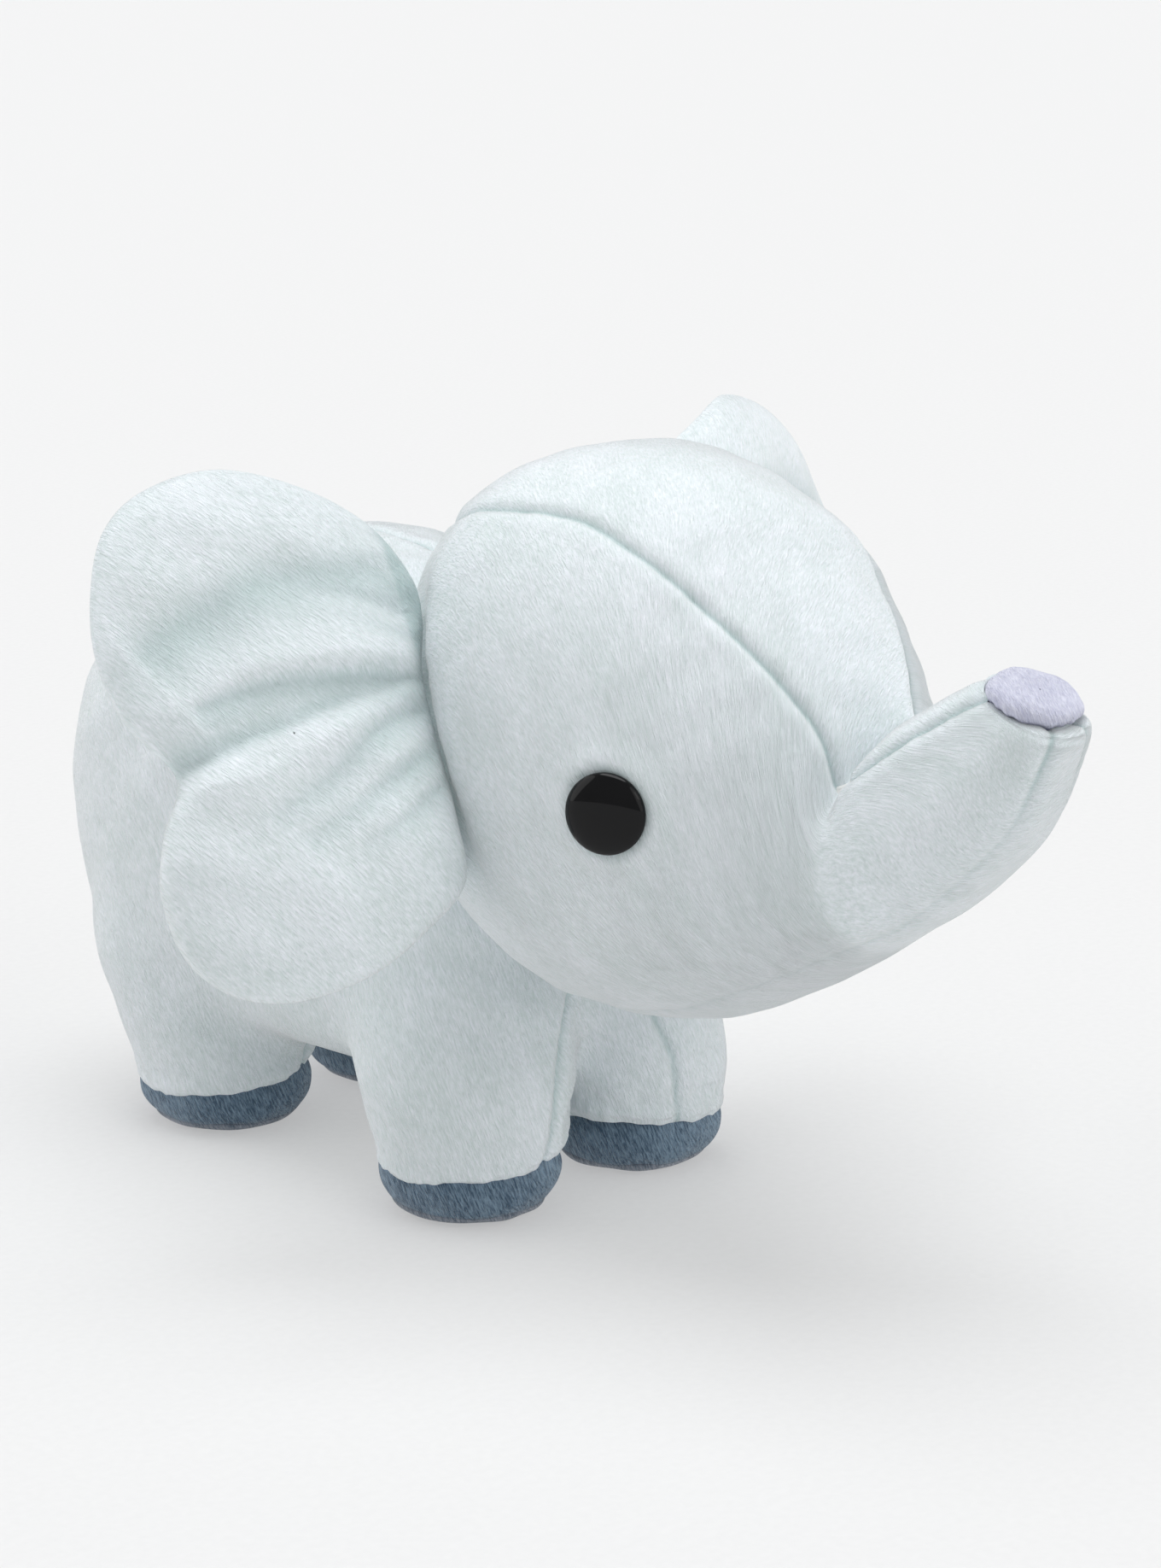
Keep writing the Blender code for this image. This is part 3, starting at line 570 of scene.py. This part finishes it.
def head_skin():
    """The head's whole skin as a grid, with its pile coordinates and painted crease shade."""
    t = np.linspace(0.03, TIP_START + LIP_OVERRUN, HEAD_STATIONS)
    angles = head_columns(t)
    grid = section(HEAD, t, angles)
    soft = 0.85 * np.exp(-((t[1:-1, None] - CROOK) / 1.9) ** 2) * smooth_step(0.9 - 1.3 * np.cos(angles[1:-1]))
    for _ in range(SMOOTHING_ROUNDS):
        grid[1:-1] += ((grid[:-2] + grid[2:]) / 2 - grid[1:-1]) * soft[..., None]
    normals = grid_normals(grid)
    along = arc_lengths(grid, 0)
    offset = 0.55 * lumps(grid, 46, 3) + 0.22 * lumps(grid, 17, 5)
    crease_shade = np.zeros(grid.shape[:2])
    for index, column in enumerate(seam_columns()):
        distance = np.linalg.norm(grid - grid[:, column:column + 1], axis=-1)
        run = along[:, column:column + 1]
        pull = 1.0 if index < 2 else 0.25 + 0.75 * smooth_step((t[:, None] - 13.8) / 2.0)
        offset += pull * groove(distance, *HEAD_SEAM) * (1 + 0.12 * np.sin(TAU * run / 11.3 + index))
        offset += pull * puckers(run, distance, 0.09, 5.5, 4.0)
        # painted shade along the seam's groove
        crease_shade += 0.55 * pull * np.exp(-(distance / 0.8) ** 2)
    end = along[-1:] - along
    offset += 0.4 * np.exp(-((end - 6.5) / 3.0) ** 2) - 3.4 * np.exp(-(end / 2.8) ** 2)
    # painted shade round the trunk's end, where the skin turns in
    crease_shade += 0.6 * np.exp(-(end / 0.8) ** 2)
    for sign in SIDES.values():
        root = ear_surface(np.array([-3.0, 2, 5, 6, 7, 8]), np.array([166.0, 153, 141, 128, 114, 99]), sign)
        distance, run, _ = to_line(grid, root)
        offset += groove(distance, 2.4, 3.4) + puckers(run * 75, distance, 0.25, 8.0, 6.0)
        # painted shade along the ear's root seam
        crease_shade += 0.5 * np.exp(-(distance / 2.6) ** 2)
        dart = shifted([(sign * 57, -21, 101), (sign * 56, -28, 95), (sign * 55, -34, 90)])
        distance, run, _ = to_line(grid, dart)
        fade = smooth_step((1.0 - run) * 3)
        offset += groove(distance, 0.9, 1.4) * fade
        # painted shade in the dart
        crease_shade += 0.6 * np.exp(-(distance / 1.1) ** 2) * fade
        eye = np.array((sign * EYE_POINT[0], EYE_POINT[1] + Y_SHIFT, EYE_POINT[2]))
        distance = np.linalg.norm(grid - eye, axis=-1)
        offset += 1.5 * np.exp(-((distance - 12.0) / 3.6) ** 2) - 0.5 * np.exp(-(distance / 8.0) ** 4)
        # painted shade in the ring round the eye's socket
        crease_shade += 0.5 * np.exp(-((distance - 9.6) / 1.2) ** 2)
    grid = grid + normals * offset[..., None]
    across = arc_lengths(grid, 1)
    turn = math.radians(38)
    nap = np.stack([along * math.cos(turn) + across * math.sin(turn),
                    across * math.cos(turn) - along * math.sin(turn), 0 * along], axis=-1)
    return grid, nap, np.clip(crease_shade, 0, 1)


def make_head():
    """The four panels of the head; returns its whole skin as a volume that the body is cut to."""
    grid, nap, crease_shade = head_skin()
    a, b, c, d = seam_columns()
    total = grid.shape[1]
    spans = {"head_top_gusset": range(a, b + 1), "head_side_panel_right": range(b, c + 1),
             "head_under_gusset": range(c, d + 1), "head_side_panel_left": range(d, total + 1)}
    for node, span in spans.items():
        columns = np.array(span) % total
        obj = from_grid("plush_" + node, grid[:, columns], nap[:, columns], crease_shade[:, columns])
        dress(obj, MINT, "head", "mint_plush_shade" if "gusset" in node else "mint_plush", node)
    return new_mesh("head_volume", grid.reshape(-1, 3), grid_faces(grid.shape[0], total, closed=True))


def make_trunk_tip():
    """The patch on the end of the trunk: its rim is pulled into the seam and it puffs out over it."""
    angles = np.linspace(0, TAU, 120, endpoint=False)
    edge_ring = section(HEAD, np.array([TIP_START]), angles[None, :])[0]
    y, z, lean = spline(HEAD, TIP_START)[:3]
    centre = np.array((0, y + Y_SHIFT, z))
    forward = np.array((0, -math.cos(math.radians(lean)), math.sin(math.radians(lean))))
    profile = spline(TIP_PROFILE, np.linspace(0, len(TIP_PROFILE) - 1, 44))
    back = np.array((0, forward[2], -forward[1]))
    reach = edge_ring - centre
    short = reach - back * (reach @ back)[:, None] * TIP_SHORTER + back * TIP_SHIFT
    grid = centre + short[None] * profile[:, 0, None, None] + forward * profile[:, 1, None, None]
    normals = grid_normals(grid)
    along = arc_lengths(grid, 0)
    across = arc_lengths(grid, 1)
    offset = 0.35 * lumps(grid, 11, 8) + puckers(across[10:11], along, 0.3, 4.6, 4.0)
    grid = grid + normals * offset[..., None]
    # painted shade round the patch's rim, where it meets the trunk
    crease_shade = 0.9 * np.exp(-((along - 1.2) / 1.3) ** 2)
    obj = from_grid("plush_trunk_tip", grid, brushed(grid), crease_shade, closed=True)
    dress(obj, LAVENDER, "head", "lavender_plush", "trunk_tip_patch")


def make_eyes():
    """Domed glossy buttons with a thin rolled rim."""
    rim = [(0.0, EYE_DOME)]
    for a in np.linspace(0, math.pi / 2, 22)[1:]:
        rim.append((EYE_RADIUS * math.sin(a), 1.0 + (EYE_DOME - 1.0) * math.cos(a)))
    rim += [(EYE_RADIUS, 0.6), (EYE_RADIUS - 0.25, 0.15), (EYE_RADIUS - 0.8, 0.0), (STEM_RADIUS, 0.0),
            (STEM_RADIUS, -STEM_LENGTH), (0.0, -STEM_LENGTH)]
    angles = np.linspace(0, TAU, EYE_COLUMNS, endpoint=False)
    for side, sign in SIDES.items():
        azimuth = math.radians(EYE_AZIMUTH)
        gaze = Vector((sign * math.sin(azimuth), -math.cos(azimuth), 0.02)).normalized()
        seat = Vector((sign * EYE_POINT[0], EYE_POINT[1] + Y_SHIFT, EYE_POINT[2])) + gaze * 1.1
        turn = np.array(gaze.to_track_quat("Z", "Y").to_matrix())
        grid = np.array([[(r * math.cos(a), r * math.sin(a), z) for a in angles] for r, z in rim])
        grid = grid @ turn.T + np.array(seat)
        obj = new_mesh(f"glossy_eye_{side}", grid.reshape(-1, 3), grid_faces(len(rim), EYE_COLUMNS, True, flip=True))
        obj.data.materials.append(EYE)
        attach(obj, "head")
        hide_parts(f"eye_{side}")


# ---------------------------------------------------------------- body

def leg_centres():
    return [(place, side, sign * rows[0][1], rows[0][2] + Y_SHIFT)
            for place, rows in LEGS.items() for side, sign in SIDES.items()]


def body_volume():
    """Body and legs as overlapping closed lofts, fused by a voxel remesh and relaxed where the legs run in."""
    t = np.linspace(0.0, 9.95, 70)
    angles = np.tile(np.linspace(0, TAU, 80, endpoint=False), (70, 1))
    parts = [(section(BODY, t, angles), 80)]
    ring = np.linspace(0, TAU, 56, endpoint=False)
    for rows in LEGS.values():
        for sign in SIDES.values():
            levels = spline(rows, np.linspace(0, len(rows) - 1, 30))
            stack = [np.stack([sign * x + r * np.cos(ring), y + Y_SHIFT + r * np.sin(ring), 0 * ring + z], axis=-1)
                     for z, x, y, r in levels]
            parts.append((np.array(stack), 56))
    points, faces, base = [], [], 0
    for grid, columns in parts:
        rows = grid.shape[0]
        points.append(grid.reshape(-1, 3))
        faces += [[i + base for i in face] for face in grid_faces(rows, columns, True)]
        faces.append([base + i for i in range(columns)][::-1])
        faces.append([base + (rows - 1) * columns + i for i in range(columns)])
        base += rows * columns
    obj = new_mesh("body_volume", np.vstack(points), faces)
    remesh = obj.modifiers.new("fuse", "REMESH")
    remesh.mode = "VOXEL"
    remesh.voxel_size = BODY_VOXEL * MM
    apply_modifiers(obj)
    height = points_of(obj)[:, 2]
    relax(obj, 0.5 * np.ones(len(height)), 6)
    relax(obj, 0.6 * np.exp(-((height - 48) / 20) ** 2), 34)
    refine = obj.modifiers.new("refine", "SUBSURF")
    refine.levels = refine.render_levels = 1
    return apply_modifiers(obj)


def gusset_half(points):
    """Half the width of the belly and chest gusset; it narrows up the chest and to a point on the rump."""
    y, z = points[:, 1] - Y_SHIFT, points[:, 2]
    rear = smooth_step((y - 120) / 40)
    chest = smooth_step((24 - y) / 22)
    top = GUSSET_TOP - 4 * rear
    belly = GUSSET_HALF_WIDTH * (1 - rear * smooth_step((z - 20) / (top - 20)))
    front = np.interp(z, (15, 34, 46, 55, 72), (24, 21, 16, 11, 7.5))
    return np.where(z < top, belly + (front - belly) * chest, 0.0)


def head_distance(points, head):
    """Signed distance to the head's skin in millimetres, positive outside."""
    bm = bmesh.new()
    bm.from_mesh(head.data)
    tree = BVHTree.FromBMesh(bm)
    bm.free()
    signed = np.empty(len(points))
    for i, point in enumerate(points * MM):
        near, normal, _, distance = tree.find_nearest(Vector(point))
        signed[i] = math.copysign(distance, (Vector(point) - near).dot(normal)) / MM
    return signed


def shape_body(obj):
    """Seams, puckers, lumps and hems on the fused body, with painted shade along the seams and in the leg folds."""
    points = points_of(obj)
    normals = vertex_normals(obj)
    half = gusset_half(points)
    distance = np.abs(np.abs(points[:, 0]) - half)
    strength = smooth_step((0.995 - np.abs(normals[:, 0]) * (half > 0)) / 0.1)
    run = points[:, 1] + points[:, 2]
    offset = 0.6 * lumps(points, 44, 11) + 0.25 * lumps(points, 16, 12)
    offset += strength * (groove(distance, *BODY_SEAM) + puckers(run, distance, 0.1, 7.5, 5.0))
    # painted shade along the gusset seams
    crease_shade = 0.5 * np.exp(-(distance / 0.9) ** 2) * strength
    front = points[:, 1] - Y_SHIFT < 20
    for line, depth, soft in LEG_FOLDS:
        distance, along, _ = to_line(points, shifted(line))
        fade = smooth_step(along * 4 + 0.2) * smooth_step((1 - along) * 4 + 0.2)
        shape = depth * np.exp(-(distance / soft) ** 2) * fade
        offset -= shape * front
        # painted shade in the leg folds, deeper folds darker
        crease_shade = np.maximum(crease_shade, 0.12 * shape * front)
    over_hem = points[:, 2] - hem_height(points)
    near = over_hem < 9
    offset += near * (0.55 * np.exp(-((over_hem - 2.2) / 2.0) ** 2) - 0.5 * np.exp(-(over_hem / 0.8) ** 2))
    offset += 0.18 * near * lumps(points, 5, 17)
    set_points(obj, points + normals * offset[:, None])
    write_pile(obj.data, brushed(points), np.clip(crease_shade, 0, 1))


def hem_height(points):
    """Height of the hem round the nearest leg: it rises towards the inner side and a little towards the front."""
    sole = np.array([(x, y) for _, _, x, y in leg_centres()])
    gap = points[:, None, :2] - sole
    nearest = np.argmin(np.sum(gap ** 2, axis=-1), axis=1)
    sideways, forwards = gap[np.arange(len(points)), nearest].T
    inner = -sideways * np.sign(sole[nearest, 0])
    wave = 0.22 * np.sin(points[:, 0] / 1.9 + 1) + 0.22 * np.sin(points[:, 1] / 1.5) + 0.15 * np.sin(points[:, 0] / 0.8)
    return HEM_HEIGHT + 0.127 * inner - 0.04 * forwards + wave


def roll_hems(obj):
    """Turn each open hem under, so that the plush edge looks round and thick."""
    bm = bmesh.new()
    bm.from_mesh(obj.data)
    centres = leg_centres()
    for inward, down in HEM_ROLL:
        rim = [e for e in bm.edges if e.is_boundary and all(v.co.z < 18 * MM for v in e.verts)]
        grown = bmesh.ops.extrude_edge_only(bm, edges=rim)["geom"]
        for vert in (v for v in grown if isinstance(v, bmesh.types.BMVert)):
            x, y = min(((x, y) for _, _, x, y in centres),
                       key=lambda c: math.hypot(vert.co.x / MM - c[0], vert.co.y / MM - c[1]))
            towards = Vector((x * MM - vert.co.x, y * MM - vert.co.y, 0)).normalized()
            vert.co += (towards * inward - Vector((0, 0, down))) * MM
    bmesh.ops.recalc_face_normals(bm, faces=bm.faces)
    bm.to_mesh(obj.data)
    bm.free()


def make_body(head):
    """The two side panels and the belly gusset, cut from one body along the hems, the neck and the seams."""
    obj = body_volume()
    shape_body(obj)
    points = points_of(obj)
    cut_along(obj, points[:, 2] - hem_height(points), remove_below=True)
    cut_along(obj, head_distance(points_of(obj), head) + NECK_OVERLAP, remove_below=True)
    roll_hems(obj)
    for side in (-1, 1):
        points = points_of(obj)
        cut_along(obj, points[:, 0] + side * gusset_half(points))

    def half_at(centre):
        return gusset_half(np.array([centre]))[0]

    pieces = {
        "belly_gusset": lambda c: abs(c.x) <= half_at(c),
        "body_side_panel_left": lambda c: c.x > half_at(c),
        "body_side_panel_right": lambda c: c.x < -half_at(c),
    }
    for node, keep in pieces.items():
        skin = separate(obj, "plush_" + node, keep)
        dress(skin, MINT, "torso", "mint_plush_shade" if "gusset" in node else "mint_plush", node)
    bpy.data.objects.remove(obj)
    bpy.data.objects.remove(head)


def revolve(profile, centre, seed):
    """A turned skin about a vertical line, with a wobble of its radius."""
    angles = np.linspace(0, TAU, FOOT_COLUMNS, endpoint=False)
    radius = np.array([r for r, _ in profile])[:, None]
    height = np.array([z for _, z in profile])[:, None]
    grid = np.stack([centre[0] + radius * np.cos(angles), centre[1] + radius * np.sin(angles),
                     height + 0 * angles], axis=-1)
    rough = lumps(grid, 14, seed) * FOOT_WOBBLE * np.minimum(radius / 12, 1)
    grid[..., 0] += rough * np.cos(angles)
    grid[..., 1] += rough * np.sin(angles)
    return grid


def make_feet():
    """A slate band and a rounded sole on each leg."""
    band = spline(BAND_PROFILE, np.linspace(0, 6, 34))
    sole = spline(SOLE_PROFILE, np.linspace(0, 6, 26))
    for index, (place, side, x, y) in enumerate(leg_centres()):
        for kind, profile, material, seed in (("band", band, SLATE, 21), ("sole", sole, SOLE, 31)):
            grid = revolve(profile, (x, y), seed + index)
            if kind == "sole":
                grid[..., 2] = np.maximum(grid[..., 2], 0.0)
            depth = arc_lengths(grid, 0)
            edge = depth if kind == "sole" else depth[-1:] - depth
            # painted shade where the band meets the sole
            obj = from_grid(f"plush_foot_{kind}_{place}_{side}", grid, brushed(grid),
                            0.6 * np.exp(-(edge / 0.8) ** 2), closed=True)
            dress(obj, material, "torso", "slate_plush" if kind == "band" else "slate_sole_plush",
                  f"foot_{kind}_{place}_{side}")


# ---------------------------------------------------------------- ears

def ear_height(u, z, share, front):
    """How far the ear's skin stands off its middle surface, and how much painted shade it gets in the folds and at the
    root.
    """
    crown = 9.8 * np.sqrt(np.maximum(0, 1 - share ** 4))
    taper = np.clip((u + 4) / 26, 0, 1) ** 0.55
    height = 0.9 + crown * (0.2 + 0.8 * taper)
    place = np.stack([u, z], axis=-1)
    inside = 1 - share ** 14
    crease_shade = np.zeros_like(u)
    scale = 1.0 if front else 0.4
    for lines, way in ((EAR_FOLDS, -1), (EAR_RIDGES, 1)):
        for line, start, end, soft_up, soft_down in lines:
            distance, run, offset = to_line(place, line)
            soft = np.where(offset[..., 1] > 0, soft_up, soft_down)
            amount = (start + (end - start) * run) * smooth_step((1 - run) * 6 + 0.35)
            height += way * amount * np.exp(-(distance / soft) ** 1.6) * scale * inside
            if way < 0:
                # painted shade in the fold, stronger where the fold is deeper
                fold_shade = np.clip(amount / 5.5, 0, 1) * np.exp(-(distance / (0.8 * soft)) ** 2) * scale
                crease_shade = np.maximum(crease_shade, fold_shade)
    core = 1 - ((u - 50) / 21) ** 2 - ((z - 134) / 40) ** 2
    height = np.maximum(height, 0.9 + 3.9 * np.sqrt(np.maximum(core, 0)))
    root = np.maximum(u - 3 + 0.05 * (z - 134), 0)
    height += 1.1 * np.sin(TAU * z / 9.5 + 1.5 * np.sin(z / 7)) * np.exp(-(root / 9) ** 2) * inside * scale
    # painted shade along the root
    crease_shade = np.maximum(crease_shade, 0.6 * np.exp(-(root / 2.2) ** 2))
    return height, crease_shade


def fold_lip(u, z):
    """How far the skin hangs down just above the main fold."""
    distance, run, offset = to_line(np.stack([u, z], axis=-1), EAR_FOLDS[0][0])
    above = LIP_REACH * np.exp(-((distance - 4.5) / 2.8) ** 2)
    below = LIP_REACH * math.exp(-(4.5 / 2.8) ** 2) * np.exp(-(distance / 2) ** 2)
    return np.where(offset[..., 1] > 0, above, below) * smooth_step((1 - run) * 2.2) * smooth_step(run * 8 + 0.3)


def ear_outline(sign, count):
    """One ear's outline; the left one is sewn further in over the top of the head."""
    outline = closed_spline(EAR_OUTLINE, count)
    u, z = outline.T
    if sign > 0:
        outline[:, 0] -= 15 * np.exp(-((z - 186) / 10) ** 2) * smooth_step((34 - u) / 30)
    return outline


def ear_sheet(sign, outline, seam, q):
    """Rings of one ear from q: 0 is the front's centre, 1 the rim and 2 the back's centre; q is (rings, outline)."""
    share = np.where(q <= 1, q, 2 - q)
    u = EAR_CENTRE[0] + (outline[None, :, 0] - EAR_CENTRE[0]) * share
    z = EAR_CENTRE[1] + (outline[None, :, 1] - EAR_CENTRE[1]) * share
    front, crease_shade_front = ear_height(u, z, share, True)
    back, crease_shade_back = ear_height(u, z, share, False)
    hung = z - np.where(q <= 1, fold_lip(u, z) * (1 - share ** 14), 0)
    middle = ear_surface(u, hung, sign)
    step = 0.5
    along = ear_surface(u + step, z, sign) - ear_surface(u - step, z, sign)
    up = ear_surface(u, z + step, sign) - ear_surface(u, z - step, sign)
    normal = np.cross(along, up) * -sign
    normal /= np.linalg.norm(normal, axis=-1, keepdims=True)
    rim = np.sqrt(np.maximum(0, 1 - share ** 30))
    low = smooth_step((1 - seam) / 0.06)
    edge = np.abs(q - seam) * np.linalg.norm(outline - EAR_CENTRE, axis=1)
    dip = (1.6 * np.exp(-(edge / 1.3) ** 2) - 0.7 * np.exp(-((edge - 3.2) / 1.8) ** 2)) * low
    dip *= 1 + 0.2 * np.sin(np.arange(len(outline)) * 0.9)
    height = np.where(q <= 1, front * rim - dip, -back * rim)
    # painted shade along the rim seam
    rim_seam_shade = 0.75 * np.exp(-(edge / 0.9) ** 2) * (0.12 + 0.88 * low)
    height += 0.45 * lumps(middle, 22, 41 + sign) * (1 - share ** 8)
    crease_shade = np.maximum(np.where(q <= 1, crease_shade_front, crease_shade_back), rim_seam_shade)
    return middle + normal * height[..., None], crease_shade, u, z


def make_ears():
    """Front and back panels; the seam runs along the rim, and on the front of the lower lobe."""
    count = 300
    ease = 1 - (1 - np.linspace(0, 1, 90)) ** 1.9
    beyond = np.concatenate([0.004 + 0.996 * ease, [1.004, 1.01, 1.02, 1.03, 1.04, 1.05, 1.06, 1.07]])[:, None]
    for side, sign in SIDES.items():
        outline = ear_outline(sign, count)
        low = smooth_step((118 - outline[:, 1]) / 22) * smooth_step((outline[:, 0] - 2) / 12)
        seam = 1.02 - 0.095 * low
        front_q = 0.004 + (seam - 0.004) * ease[:, None]
        over = 2 - seam
        back_w = np.where(beyond <= 1, beyond * np.minimum(over, 1), 1 + (beyond - 1) / 0.07 * np.maximum(over - 1, 0))
        for kind, q in (("front", front_q), ("back", 2 - back_w)):
            grid, crease_shade, u, z = ear_sheet(sign, outline, seam, q)
            nap = np.stack([u * 0.66 + z * 0.75, z * 0.66 - u * 0.75, 0 * u + (0 if kind == "front" else 60)], axis=-1)
            obj = from_grid(f"plush_ear_{kind}_{side}", grid, nap, crease_shade, closed=True)
            bm = bmesh.new()
            bm.from_mesh(obj.data)
            bmesh.ops.recalc_face_normals(bm, faces=bm.faces)
            bm.to_mesh(obj.data)
            bm.free()
            dress(obj, MINT, None, "mint_plush" if kind == "front" else "mint_plush_shade",
                  f"ear_{kind}_panel_{side}")
            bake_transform(obj)


def make_tail():
    """A short stuffed tail with a seam along its back."""
    droop = math.radians(TAIL_DROOP)
    profile = spline(TAIL_PROFILE, np.linspace(0, len(TAIL_PROFILE) - 1, 46))
    angles = np.linspace(0, TAU, 72, endpoint=False)
    radius, height = profile[:, 0:1], profile[:, 1:2]
    bend = 0.012 * height ** 2
    grid = np.stack([radius * np.cos(angles), radius * np.sin(angles) + bend * 0.5, height + 0 * angles], axis=-1)
    turn = np.array(Matrix.Rotation(droop, 3, "X"))
    grid = grid @ turn.T + shifted(TAIL_BASE)
    normals = grid_normals(grid)
    along = arc_lengths(grid, 0)
    seam = np.minimum(np.abs(angles - math.pi / 2), 9)[None, :] * radius
    offset = groove(seam, 0.8, 1.2) + 0.25 * lumps(grid, 9, 51) + puckers(along, seam, 0.2, 5, 3)
    grid = grid + normals * offset[..., None]
    # painted shade along the seam and at the base
    crease_shade = np.maximum(0.6 * np.exp(-(seam / 0.9) ** 2), 0.5 * np.exp(-(along / 3) ** 2))
    obj = from_grid("plush_tail", grid, brushed(grid), crease_shade, closed=True)
    dress(obj, MINT, "tail", "mint_plush", "tail")


def dress_inside():
    """The carried-over CAD nodes inside the toy."""
    choices = {"stuffing": FIBRE, "filling": FIBRE, "washer": WASHER}
    for name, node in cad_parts.items():
        for word, material in choices.items():
            if word in name:
                node.data.materials.clear()
                node.data.materials.append(material)


# ---------------------------------------------------------------- studio

def add_light(name, kind, place, target, power, **settings):
    light = bpy.data.lights.new(name, kind)
    light.energy = power
    for key, value in settings.items():
        setattr(light, key, value)
    obj = bpy.data.objects.new(name, light)
    bpy.context.scene.collection.objects.link(obj)
    obj.location = place
    obj.rotation_mode = "QUATERNION"
    obj.rotation_quaternion = (Vector(target) - Vector(place)).to_track_quat("-Z", "Y")


def make_studio():
    """An even white sweep: an overcast world, three broad suns, and a window for the eye to reflect."""
    scene = bpy.context.scene
    scene.view_settings.view_transform = "Standard"
    world = bpy.data.worlds.new("studio")
    world.use_nodes = True
    background = world.node_tree.nodes["Background"]
    background.inputs["Color"].default_value = (0.99, 0.995, 1.0, 1.0)
    background.inputs["Strength"].default_value = 0.42
    scene.world = world
    mesh = bpy.data.meshes.new("floor")
    far = FLOOR_HALF_WIDTH
    mesh.from_pydata([(-far, -far, 0), (far, -far, 0), (far, far, 0), (-far, far, 0)], [], [(0, 1, 2, 3)])
    floor = bpy.data.objects.new("floor", mesh)
    floor.location.z = -FLOOR_GAP
    scene.collection.objects.link(floor)
    paper = Graph("pale_floor")
    grain = paper.noise(paper.add("ShaderNodeTexCoord").outputs["Object"], 400.0)
    tone = paper.mix(grain, (0.375, 0.375, 0.375), (0.395, 0.395, 0.395))
    paper.set(Base_Color=tone, Roughness=0.95, Emission_Color=tone, Emission_Strength=1.0)
    mesh.materials.append(paper.material)
    add_light("key", "SUN", (0.12, 0.1, 1.2), (0, 0, 0), 2.15, angle=math.radians(50), color=(0.98, 0.99, 1.0))
    add_light("side", "SUN", (-0.9, 1.2, 0.65), (0, 0, 0), 0.95, angle=math.radians(60))
    add_light("rim", "SUN", (0.4, -1.3, 0.6), (0, 0, 0), 0.75, angle=math.radians(60))
    add_light("window", "AREA", (0.6, -3.4, 2.2), (0, 0, 0.1), 6.0, shape="RECTANGLE", size=0.9, size_y=1.1)


def make_camera():
    """The camera stands to the toy's right of its front, a little above it, with a long lens."""
    azimuth, elevation, distance = math.radians(-43.3), math.radians(14.07), 1.0417
    target = Vector((0.0005, (0.8 + Y_SHIFT) * MM, 0.1087))
    back = Vector((math.sin(azimuth) * math.cos(elevation), -math.cos(azimuth) * math.cos(elevation),
                   math.sin(elevation)))
    data = bpy.data.cameras.new("camera")
    data.sensor_fit = "HORIZONTAL"
    data.sensor_width = 36.0
    data.lens = 125.7
    data.clip_end = 100.0
    camera = bpy.data.objects.new("camera", data)
    bpy.context.scene.collection.objects.link(camera)
    camera.location = target + back * distance
    camera.rotation_mode = "QUATERNION"
    camera.rotation_quaternion = (-back).to_track_quat("-Z", "Y")
    bpy.context.scene.camera = camera


make_camera()
make_studio()
dress_inside()
make_trunk_tip()
make_eyes()
make_body(make_head())
make_feet()
make_ears()
make_tail()
